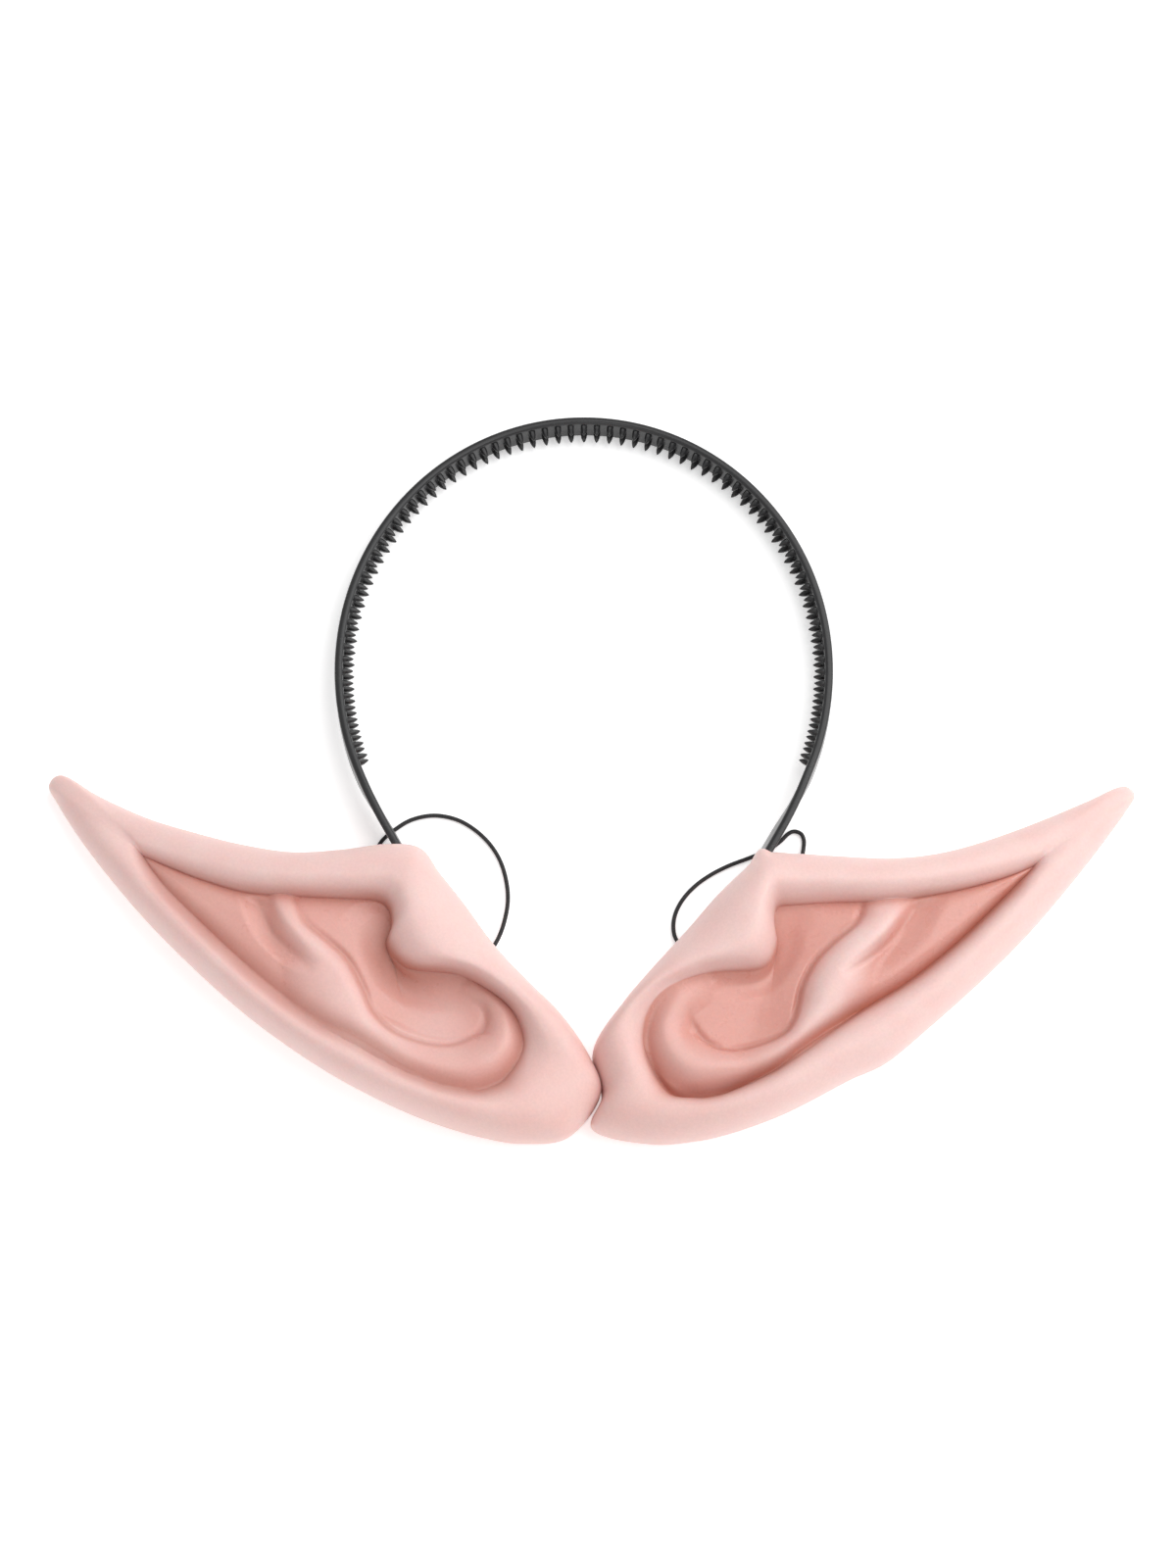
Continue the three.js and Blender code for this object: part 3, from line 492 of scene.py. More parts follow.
class EarSettings(bpy.types.PropertyGroup):
    """The hollow latex ears"""

    wall: FloatProperty(
        name="Wall", description="Thickness of the latex", default=2 * MM, unit="LENGTH")
    tuck: FloatProperty(
        name="Tuck", description="How far the edge turns in at the back", default=3 * MM, unit="LENGTH")
    lip_share: FloatProperty(
        name="Lip share", description="How much of the wall the lip of the inner skin keeps", default=0.8)
    swell: FloatProperty(
        name="Swell", description="How fully the floor of the hollow rises beside the lips", default=3.0)
    skin_colour: FloatVectorProperty(
        name="Skin colour", description="Latex of the rim, dome and lobe", subtype="COLOR", size=4,
        default=(0.83, 0.585, 0.55, 1.0))
    hollow_colour: FloatVectorProperty(
        name="Hollow colour", description="Warmer latex in the hollow", subtype="COLOR", size=4,
        default=(0.69, 0.35, 0.298, 1.0))
    # Painted shade in the creases and under the rolls, with some paint settled there
    crease_paint_and_shade_colour: FloatVectorProperty(
        name="Crease colour", description="Paint settled in the creases", subtype="COLOR", size=4,
        default=(0.47, 0.17, 0.12, 1.0))


def named_columns(columns, rows):
    """A table as arrays by column name."""
    return dict(zip(columns, np.array(rows, float).T))


def smooth(values, places, closed=False):
    """Values between the rows of a column, on a smooth curve through them."""
    count = len(values)
    i = np.floor(places).astype(int)
    f = places - i

    def row(k):
        return values[k % count] if closed else values[np.clip(k, 0, count - 1)]

    a, b, c, d = row(i - 1), row(i), row(i + 1), row(i + 2)
    return b + 0.5 * f * (c - a + f * (2 * a - 5 * b + 4 * c - d + f * (3 * (b - c) + d - a)))


def add_object(name, mesh):
    piece = bpy.data.objects.new(name, mesh)
    bpy.context.scene.collection.objects.link(piece)
    return piece


def mesh_of(name, points, faces):
    mesh = bpy.data.meshes.new(name)
    mesh.from_pydata([tuple(p) for p in points], [], [tuple(f) for f in faces])
    mesh.validate()
    return mesh


def shade(mesh, sharp_angle):
    """Smooth shading with crisp edges where faces meet at more than an angle."""
    mesh.polygons.foreach_set("use_smooth", [True] * len(mesh.polygons))
    mesh.set_sharp_from_angle(angle=math.radians(sharp_angle))


def plain_mesh(piece):
    """Turns what the piece's modifiers make into its own mesh."""
    graph = bpy.context.evaluated_depsgraph_get()
    made = bpy.data.meshes.new_from_object(piece.evaluated_get(graph))
    if not made.polygons:
        raise RuntimeError(f"{piece.name} came out empty")
    before = piece.data
    piece.modifiers.clear()
    piece.data = made
    bpy.data.meshes.remove(before)


def remove_piece(piece):
    mesh = piece.data
    bpy.data.objects.remove(piece)
    bpy.data.meshes.remove(mesh)


def face_outwards(mesh):
    """Turns the faces of a closed mesh outwards."""
    work = bmesh.new()
    work.from_mesh(mesh)
    bmesh.ops.recalc_face_normals(work, faces=work.faces)
    work.to_mesh(mesh)
    work.free()


def unit(vectors):
    """Each vector made one long."""
    return vectors / np.linalg.norm(vectors, axis=-1, keepdims=True)


def along_line(line):
    """How far along a line each of its points lies."""
    return np.concatenate([[0], np.cumsum(np.linalg.norm(np.diff(line, axis=0), axis=1))])


def swept_tube(path, radius, around):
    """Points, faces and corner UVs of a round tube along a path, closed at both ends."""
    ahead = unit(np.gradient(path, axis=0))
    side = unit(np.cross(ahead[0], (0.0, 0.0, 1.0)))
    rings = []
    angle = np.arange(around) * 2 * math.pi / around
    for place, direction in zip(path, ahead):
        side = unit(side - direction * side.dot(direction))
        top = np.cross(direction, side)
        ring = np.cos(angle)[:, None] * side + np.sin(angle)[:, None] * top
        rings.append(place + radius * ring)
    count = len(path)
    points = np.concatenate(rings + [path[:1], path[-1:]])
    along = along_line(path)
    faces, uvs = [], []
    for k in range(count - 1):
        for i in range(around):
            j = (i + 1) % around
            faces.append((k * around + i, k * around + j, (k + 1) * around + j, (k + 1) * around + i))
            u0, u1 = i / around, (i + 1) / around
            uvs += [(u0, along[k]), (u1, along[k]), (u1, along[k + 1]), (u0, along[k + 1])]
    for ring, middle, turn in ((0, count * around, -1), (count - 1, count * around + 1, 1)):
        for i in range(around):
            ends = [ring * around + i, ring * around + (i + 1) % around][::turn]
            faces.append((*ends, middle))
            uvs += [(i / around, along[ring])] * 3
    return points, faces, uvs


def tube_mesh(name, points, faces, uvs):
    """A mesh of one or more tubes, with the UV map that the woven cover follows."""
    mesh = mesh_of(name, points, faces)
    layer = mesh.uv_layers.new(name="cover")
    layer.data.foreach_set("uv", np.array(uvs).ravel())
    shade(mesh, SHARP["elastic"])
    return mesh


class Nodes:
    """Short ways to build a node tree."""

    def __init__(self, tree):
        self.tree = tree

    def feed(self, node, inputs):
        """Links or sets a node's inputs, each given by its name or number."""
        for key, value in inputs.items():
            if isinstance(value, bpy.types.NodeSocket):
                self.tree.links.new(value, node.inputs[key])
            else:
                node.inputs[key].default_value = value
        return node

    def node(self, kind, inputs=(), **values):
        made = self.tree.nodes.new(kind)
        for name, value in values.items():
            setattr(made, name, value)
        return self.feed(made, dict(inputs))

    def maths(self, operation, *values):
        return self.node("ShaderNodeMath", enumerate(values), operation=operation).outputs[0]

    def mixed(self, share, first, second, blend="MIX"):
        inputs = {0: share, 6: first, 7: second}
        return self.node("ShaderNodeMix", inputs, data_type="RGBA", blend_type=blend).outputs[2]

    def ranged(self, value, to, between=NOISE_RANGE):
        return self.node("ShaderNodeMapRange", enumerate((value, *between, *to))).outputs[0]

    def noise(self, place, scale, detail):
        inputs = {"Vector": place, "Scale": scale, "Detail": detail, "Roughness": NOISE_ROUGHNESS}
        return self.node("ShaderNodeTexNoise", inputs).outputs[0]

    def bump(self, height, strength, distance):
        inputs = {"Height": height, "Strength": strength, "Distance": distance}
        return self.node("ShaderNodeBump", inputs).outputs["Normal"]


def new_tree(name, kind, inputs, outputs):
    """A node tree with named inputs and outputs, each with its kind of socket."""
    tree = bpy.data.node_groups.new(name, kind)
    for in_out, sockets in (("INPUT", inputs), ("OUTPUT", outputs)):
        for socket, socket_kind in sockets.items():
            tree.interface.new_socket(socket, in_out=in_out, socket_type=f"NodeSocket{socket_kind}")
    return tree


def grain_group():
    """Fine grain and broad mottling that every material shares, each at its own scale."""
    name = "Moulded grain"
    if name in bpy.data.node_groups:
        return bpy.data.node_groups[name]
    tree = new_tree(
        name, "ShaderNodeTree", {"Place": "Vector", "Grain scale": "Float", "Mottle scale": "Float"},
        {"Grain": "Float", "Mottle": "Float"})
    nodes = Nodes(tree)
    given = nodes.node("NodeGroupInput").outputs
    nodes.node("NodeGroupOutput", {
        "Grain": nodes.noise(given["Place"], given["Grain scale"], detail=2.0),
        "Mottle": nodes.noise(given["Place"], given["Mottle scale"], detail=4.0),
    })
    return tree


def new_material(name):
    """A material with its helper, its main shader and the place on the piece."""
    material = bpy.data.materials.new(name)
    material.use_nodes = True
    nodes = Nodes(material.node_tree)
    main = material.node_tree.nodes["Principled BSDF"]
    place = nodes.node("ShaderNodeTexCoord").outputs["Object"]
    return material, nodes, main, place


def grain_of(nodes, place, grain_scale, mottle_scale):
    inputs = {"Place": place, "Grain scale": grain_scale, "Mottle scale": mottle_scale}
    group = nodes.node("ShaderNodeGroup", inputs, node_tree=grain_group())
    return group.outputs["Grain"], group.outputs["Mottle"]


def scaled(colour, amount):
    """A colour made lighter or darker."""
    return tuple(min(c * amount, 1.0) for c in colour[:3]) + (1.0,)


def latex_material(ears):
    """Skin tone, the warmer hollow, and painted shade with some settled paint in the creases, with fine
    grain and a soft sheen.
    """
    material, nodes, main, place = new_material("painted latex")
    grain, mottle = grain_of(nodes, place, grain_scale=1500.0, mottle_scale=110.0)
    hollow = nodes.node("ShaderNodeAttribute", attribute_name="hollow").outputs["Fac"]
    crease_paint_and_shade = nodes.node("ShaderNodeAttribute", attribute_name="crease_paint_and_shade").outputs["Fac"]
    colour = nodes.mixed(hollow, tuple(ears.skin_colour), tuple(ears.hollow_colour))
    # Painted shade in the creases and under the rolls, with some paint settled there
    colour = nodes.mixed(crease_paint_and_shade, colour, tuple(ears.crease_paint_and_shade_colour))
    blotch = nodes.ranged(mottle, to=(0.965, 1.025), between=(0.35, 0.7))
    fleck = nodes.ranged(grain, to=(0.97, 1.03))
    blushed = nodes.maths("MULTIPLY", blotch, fleck)
    tint = nodes.node("ShaderNodeCombineColor", {0: fleck, 1: blushed, 2: blushed}).outputs[0]
    sheen = nodes.ranged(mottle, to=(0.37, 0.53))
    nodes.feed(main, {
        "Base Color": nodes.mixed(1.0, colour, tint, "MULTIPLY"),
        "Roughness": nodes.maths("MULTIPLY_ADD", hollow, -0.16, sheen),
        "Normal": nodes.bump(grain, strength=0.25, distance=0.08 * MM),
        "Specular IOR Level": 0.42,
        "Subsurface Weight": 0.3,
        "Subsurface Radius": (1.0, 0.35, 0.2),
        "Subsurface Scale": 3 * MM,
    })
    return material


def plastic_material(band):
    material, nodes, main, place = new_material("black moulded plastic")
    grain, mottle = grain_of(nodes, place, grain_scale=2600.0, mottle_scale=220.0)
    base = tuple(band.colour)
    nodes.feed(main, {
        "Base Color": nodes.mixed(mottle, scaled(base, 0.8), scaled(base, 1.35)),
        "Roughness": nodes.ranged(mottle, to=(0.2, 0.3)),
        "Normal": nodes.bump(grain, strength=0.2, distance=0.04 * MM),
        "Specular IOR Level": 0.42,
    })
    return material


def elastic_material(loops):
    """A braided cover: two sets of strands that wind round the elastic and cross."""
    material, nodes, main, place = new_material("braided elastic")
    grain, mottle = grain_of(nodes, place, grain_scale=6000.0, mottle_scale=500.0)
    cover = nodes.node("ShaderNodeUVMap", uv_map="cover").outputs["UV"]
    around, along = nodes.node("ShaderNodeSeparateXYZ", {0: cover}).outputs[:2]
    strand_count, lay_length = 3, 1.6 * MM
    strands = []
    for turn in (-1, 1):
        run = nodes.maths("MULTIPLY", along, turn * 2 * math.pi / lay_length)
        wound = nodes.maths("MULTIPLY_ADD", around, 2 * math.pi * strand_count, run)
        strands.append(nodes.maths("SINE", wound))
    weave = nodes.maths("MULTIPLY_ADD", nodes.maths("MULTIPLY", *strands), 0.5, 0.5)
    base = tuple(loops.colour)
    colour = nodes.mixed(weave, scaled(base, 0.6), scaled(base, 1.8))
    fleck = nodes.ranged(grain, to=(0.85, 1.1))
    nodes.feed(main, {
        "Base Color": nodes.mixed(1.0, colour, fleck, "MULTIPLY"),
        "Roughness": nodes.ranged(mottle, to=(0.6, 0.8)),
        "Normal": nodes.bump(weave, strength=0.6, distance=0.08 * MM),
        "Sheen Weight": 0.15,
    })
    return material


def floor_material(stage):
    material, nodes, main, place = new_material("pale floor")
    grain, mottle = grain_of(nodes, place, grain_scale=400.0, mottle_scale=6.0)
    base = tuple(stage.floor_colour)
    nodes.feed(main, {
        "Base Color": nodes.mixed(mottle, scaled(base, 0.995), scaled(base, 1.005)),
        "Roughness": nodes.ranged(grain, to=(0.75, 0.85)),
        "Emission Color": (1, 1, 1, 1),
        "Emission Strength": stage.floor_glow,
    })
    return material


class PIXIE_OT_stage(bpy.types.Operator):
    """Put up the camera, the floor and the lights"""

    bl_idname = "pixie.stage"
    bl_label = "Stage"

    def execute(self, context):
        stage = context.scene.pixie_stage
        aim = Vector(stage.aim)
        back = Vector((0, -math.cos(stage.elevation), math.sin(stage.elevation)))
        lens = bpy.data.cameras.new("camera")
        lens.sensor_width = 36
        lens.lens = lens.sensor_width * stage.distance / stage.view_height
        camera = add_object("camera", lens)
        camera.location = aim + back * stage.distance
        camera.rotation_euler = (math.pi / 2 - stage.elevation, 0, 0)
        context.scene.camera = camera

        square = ((-1, -1), (1, -1), (1, 1), (-1, 1))
        corners = [(x * FLOOR_HALF, y * FLOOR_HALF, 0) for x, y in square]
        floor = add_object("floor", mesh_of("floor", corners, [(0, 1, 2, 3)]))
        floor.data.materials.append(floor_material(stage))

        powers = {"key": stage.key_power, "front": stage.front_power, "fill": stage.fill_power}
        for name, (size, place) in LAMPS.items():
            light = bpy.data.lights.new(f"{name} light", "AREA")
            light.energy = powers[name]
            light.size = size
            lamp = add_object(f"{name} light", light)
            lamp.location = place
            lamp.rotation_euler = (-Vector(place)).to_track_quat("-Z", "Y").to_euler()

        world = bpy.data.worlds.new("even light")
        world.use_nodes = True
        background = world.node_tree.nodes["Background"]
        Nodes(world.node_tree).feed(background, {"Color": (1, 1, 1, 1), "Strength": stage.sky})
        context.scene.world = world
        context.scene.view_settings.view_transform = "Standard"
        return {"FINISHED"}


def loop_path(side, cuts):
    """The smooth line of a loop through its route, in metres."""
    route = np.array(ROUTES[side]) * MM
    places = np.linspace(0, len(route) - 1, (len(route) - 1) * cuts + 1)
    return np.column_stack([smooth(column, places) for column in route.T])


def knot_mesh(name, tip, heading, loops):
    """An overhand knot just past the end of a loop, with the short stem that leads into it."""
    radius = loops.diameter / 2
    t = np.linspace(0, 2 * math.pi, KNOT_CUTS + 1)
    line = np.column_stack([
        np.sin(t) + 2 * np.sin(2 * t), np.cos(t) - 2 * np.cos(2 * t), -np.sin(3 * t)])
    line *= (loops.knot_radius - radius) / 3
    middle = tip + heading * (loops.knot_radius + loops.knot_gap)
    points, faces, uvs = swept_tube(line + middle, radius, KNOT_SIDES)
    stem = np.array([tip + heading * s for s in np.linspace(0.0, 2 * loops.knot_radius, STEM_CUTS + 1)])
    stem_points, stem_faces, stem_uvs = swept_tube(stem, radius * STEM_SHARE, KNOT_SIDES)
    faces += [tuple(i + len(points) for i in face) for face in stem_faces]
    return tube_mesh(name, np.concatenate([points, stem_points]), faces, uvs + stem_uvs)


class PIXIE_OT_elastic_loops(bpy.types.Operator):
    """Lay the elastic loop of each ear on the floor and knot its ends inside the ear"""

    bl_idname = "pixie.elastic_loops"
    bl_label = "Elastic loops"

    def execute(self, context):
        loops = context.scene.pixie_loops
        elastic = elastic_material(loops)
        for side in SIDES:
            path = loop_path(side, ROUTE_CUTS)
            name = f"{side}_loop"
            tube = swept_tube(path, loops.diameter / 2, LOOP_SIDES)
            loop = add_object(name, tube_mesh(name, *tube))
            loop.data.materials.append(elastic)
            for end, run in (("upper", path[HEADING_CUTS::-1]), ("lower", path[-1 - HEADING_CUTS:])):
                tip = run[-1]
                heading = unit((tip - run[0]) * (1, 1, 0))
                name = f"{side}_{end}_knot"
                knot = add_object(name, knot_mesh(name, tip, heading, loops))
                knot.data.materials.append(elastic)
                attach(knot, BODY)
                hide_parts(f"{side}_loop_knot_{end}")
            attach(loop, BODY)
            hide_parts(f"{side}_elastic_loop")
        return {"FINISHED"}


def hoop_line(band):
    """The middle line of the strip in the hoop's own plane, with the turn round the hoop at each point."""
    sweep = math.pi + 2 * band.leg_turn
    arc = sweep * (band.half_width + band.rise) / 2
    along = np.linspace(-band.leg, arc + band.leg, HOOP_CUTS + 1)
    turn = np.clip(along / arc, 0, 1) * sweep - band.leg_turn
    past = np.minimum(along, 0) + np.maximum(along - arc, 0)
    heading = np.column_stack([-band.half_width * np.sin(turn), band.rise * np.cos(turn), 0 * turn])
    line = np.column_stack([band.half_width * np.cos(turn), band.rise * np.sin(turn), 0 * turn])
    return line + unit(heading) * past[:, None], turn


def hoop_place(band):
    """Where the hoop's plane lies: the top of the hoop rests on the floor."""
    reach = band.rise + band.thickness / 2
    lift = band.width / 2 * math.cos(band.lean) + reach * math.sin(band.lean)
    return Matrix.Translation((band.middle_x, band.widest_y, lift)) @ Matrix.Rotation(-band.lean, 4, "X")


def lean_legs(mesh, band):
    """Leans the legs outwards at the top, in the hoop's own frame."""
    places = np.empty(len(mesh.vertices) * 3)
    mesh.vertices.foreach_get("co", places)
    places = places.reshape(-1, 3)
    share = eased(-places[:, 1], band.flare_from, band.flare_to)
    flare = np.where(places[:, 0] < 0, -band.left_flare, band.right_flare)
    places[:, 0] += places[:, 2] * flare * share
    mesh.vertices.foreach_set("co", places.ravel())


def tooth_mesh(band):
    """One tooth: a shorter prong in front and a longer one behind. X runs along the strip, -Y into it and
    Z across it."""
    points, faces = [], []
    sunk = -0.4 * MM
    front_share = 0.96
    oval = 1.15
    prong_profile = ((0.0, 1.0), (0.3, 1.0), (0.55, 0.85), (0.8, 0.52), (0.95, 0.2))
    sides = 8
    for z, share in ((band.tooth_spread / 2, front_share), (-band.tooth_spread / 2, 1.0)):
        start = len(points)
        for level, width in prong_profile:
            for i in range(sides):
                angle = 2 * math.pi * (i + 0.5) / sides
                x = band.tooth_radius * width * math.cos(angle)
                across = band.tooth_radius * oval * width * math.sin(angle)
                points.append((x, sunk + (band.tooth_height * share - sunk) * level, z + across))
        points.append((0.0, band.tooth_height * share, z))
        tip = len(points) - 1
        for k in range(len(prong_profile) - 1):
            for i in range(sides):
                j = (i + 1) % sides
                a, b = start + k * sides, start + (k + 1) * sides
                faces.append((a + j, a + i, b + i, b + j))
        top = start + (len(prong_profile) - 1) * sides
        for i in range(sides):
            faces.append((top + (i + 1) % sides, top + i, tip))
        faces.append(tuple(start + i for i in range(sides)))
    mesh = mesh_of("tooth", points, faces)
    face_outwards(mesh)
    shade(mesh, SHARP["tooth"])
    return mesh


def band_tree():
    """Geometry Nodes: the strip swept along the hoop's line, with teeth set along its inside."""
    sizes = ("Strip Width", "Strip Thickness", "Edge Radius", "Teeth Start", "Teeth End")
    inputs = {
        "Line": "Geometry", **dict.fromkeys(sizes, "Float"), "Teeth": "Int", "Tooth": "Object",
        "Plastic": "Material",
    }
    tree = new_tree("Toothed hair band", "GeometryNodeTree", inputs, {"Band": "Geometry"})
    tree.is_modifier = True
    for item in tree.interface.items_tree:
        if item.name in sizes:
            item.subtype = "DISTANCE"
    nodes = Nodes(tree)
    given = nodes.node("NodeGroupInput").outputs
    line = nodes.node("GeometryNodeMeshToCurve", {"Mesh": given["Line"]})
    level = nodes.node("GeometryNodeSetCurveNormal", {"Curve": line.outputs["Curve"]}, mode="Z_UP")

    section = nodes.node("GeometryNodeCurvePrimitiveQuadrilateral", {
        "Width": given["Strip Thickness"], "Height": given["Strip Width"]}, mode="RECTANGLE")
    rounded = nodes.node("GeometryNodeFilletCurve", {
        "Curve": section.outputs["Curve"], "Count": EDGE_CUTS, "Radius": given["Edge Radius"]}, mode="POLY")
    strip = nodes.node("GeometryNodeCurveToMesh", {
        "Curve": level.outputs["Curve"], "Profile Curve": rounded.outputs["Curve"], "Fill Caps": True})

    toothed = nodes.node("GeometryNodeTrimCurve", {
        "Curve": level.outputs["Curve"], 4: given["Teeth Start"], 5: given["Teeth End"]}, mode="LENGTH")
    places = nodes.node("GeometryNodeCurveToPoints", {
        "Curve": toothed.outputs["Curve"], "Count": given["Teeth"]}, mode="COUNT")
    turned = nodes.node("FunctionNodeAxesToRotation", {
        0: (0.0, 0.0, 1.0), 1: places.outputs["Tangent"]}, primary_axis="Z", secondary_axis="X")
    tooth = nodes.node("GeometryNodeObjectInfo", {
        "Object": given["Tooth"], "As Instance": True}, transform_space="ORIGINAL")
    teeth = nodes.node("GeometryNodeInstanceOnPoints", {
        "Points": places.outputs["Points"], "Instance": tooth.outputs["Geometry"],
        "Rotation": turned.outputs[0]})

    together = nodes.node("GeometryNodeJoinGeometry")
    for part in (strip.outputs["Mesh"], teeth.outputs["Instances"]):
        tree.links.new(part, together.inputs[0])
    real = nodes.node("GeometryNodeRealizeInstances", {"Geometry": together.outputs[0]})
    painted = nodes.node("GeometryNodeSetMaterial", {
        "Geometry": real.outputs["Geometry"], "Material": given["Plastic"]})
    nodes.node("NodeGroupOutput", {"Band": painted.outputs["Geometry"]})
    return tree


class PIXIE_OT_hair_band(bpy.types.Operator):
    """Mould the hair band: a strip bent into a hoop, with comb teeth inside"""

    bl_idname = "pixie.hair_band"
    bl_label = "Hair band"

    def execute(self, context):
        band = context.scene.pixie_band
        line, turn = hoop_line(band)
        mesh = bpy.data.meshes.new("hair_band")
        mesh.from_pydata([tuple(p) for p in line], [(i, i + 1) for i in range(len(line) - 1)], [])
        piece = add_object("hair_band", mesh)
        along = along_line(line)
        first = int(np.searchsorted(turn, -band.tooth_turn))
        last = int(np.searchsorted(turn, math.pi + band.tooth_turn)) - 1
        tooth = add_object("tooth", tooth_mesh(band))
        for vertex in tooth.data.vertices:
            vertex.co.y += band.thickness / 2
        tree = band_tree()
        sockets = {item.name: item.identifier for item in tree.interface.items_tree}
        modifier = piece.modifiers.new("Toothed hair band", "NODES")
        modifier.node_group = tree
        inputs = {
            "Strip Width": band.width, "Strip Thickness": band.thickness, "Edge Radius": band.edge_radius,
            "Teeth Start": float(along[first]), "Teeth End": float(along[last]), "Teeth": band.tooth_count,
            "Tooth": tooth, "Plastic": plastic_material(band),
        }
        for name, value in inputs.items():
            modifier[sockets[name]] = value
        plain_mesh(piece)
        remove_piece(tooth)
        lean_legs(piece.data, band)
        piece.data.transform(hoop_place(band))
        shade(piece.data, SHARP["band"])
        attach(piece, BODY)
        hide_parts("headband")
        return {"FINISHED"}


def rim_run(plan, relief):
    """The sections as one closed run of stations: the upper edge from tip to lobe, the lower edge back."""

    def run(top, low):
        return np.concatenate([top, low[-2:0:-1]])

    names = {
        "edge_out": "{}_out", "edge_up": "{}_up", "lip_out": "{}_lip_out", "lip_up": "{}_lip_up",
        "crest": "{}_crest", "crest_at": "{}_at", "lip": "{}_lip", "round": "{}_round",
    }
    both = {**plan, **relief}
    rim = {name: run(both[key.format("top")], both[key.format("low")]) for name, key in names.items()}
    for name in ("mid_out", "mid_up", "side", "floor", "solid"):
        rim[name] = run(both[name], both[name])
    rim["lower"] = run(np.zeros(len(both["side"])), np.ones(len(both["side"])))
    return rim


def dense_line(columns, rows):
    """A fold's or crease's rows as a fine line."""
    values = named_columns(columns, rows)
    places = np.linspace(0, len(rows) - 1, (len(rows) - 1) * FOLD_CUTS + 1)
    return {name: smooth(column, places) for name, column in values.items()}


def nearest(line, out, up):
    """For each place, the number of the nearest point of a line and how far away it is."""
    gap = np.hypot(out[:, None] - line["out"], up[:, None] - line["up"])
    k = gap.argmin(1)
    return k, gap[np.arange(len(out)), k]


def fold_height(folds, out, up):
    """The height that the ridges and grooves add at places in the hollow."""
    height = np.zeros_like(out)
    for line, (bowl_edge, rim_edge) in folds:
        k, gap = nearest(line, out, up)
        after, before = np.minimum(k + 1, len(line["out"]) - 1), np.maximum(k - 1, 0)
        along_out = line["out"][after] - line["out"][before]
        along_up = line["up"][after] - line["up"][before]
        in_bowl = along_out * (up - line["up"][k]) < along_up * (out - line["out"][k])
        reach = np.minimum(gap / np.where(in_bowl, line["bowl"][k], line["rim"][k]), 1)
        height += line["height"][k] * (1 - reach**2) ** np.where(in_bowl, bowl_edge, rim_edge)
    return height


def eased(value, low, high):
    """0 below low, 1 above high and a smooth change between."""
    share = np.clip((value - low) / (high - low), 0, 1)
    return share * share * (3 - 2 * share)


def bell(gap, reach):
    """1 at no gap, falling softly to nearly 0 at twice the reach."""
    return np.exp(-((gap / reach) ** 2))


def nearness(spots, place):
    """1 at a place on the ear, falling to 0 at its reach."""
    gap = np.hypot(spots[:, 0] - place["out"], spots[:, 1] - place["up"]) / place["reach"]
    return 1 - np.minimum(gap, 1) ** 2


def lobe_blush(spots):
    """How strongly the blush of the lobe shows at places on an ear."""
    return LOBE_BLUSH["share"] * nearness(spots, LOBE_BLUSH)


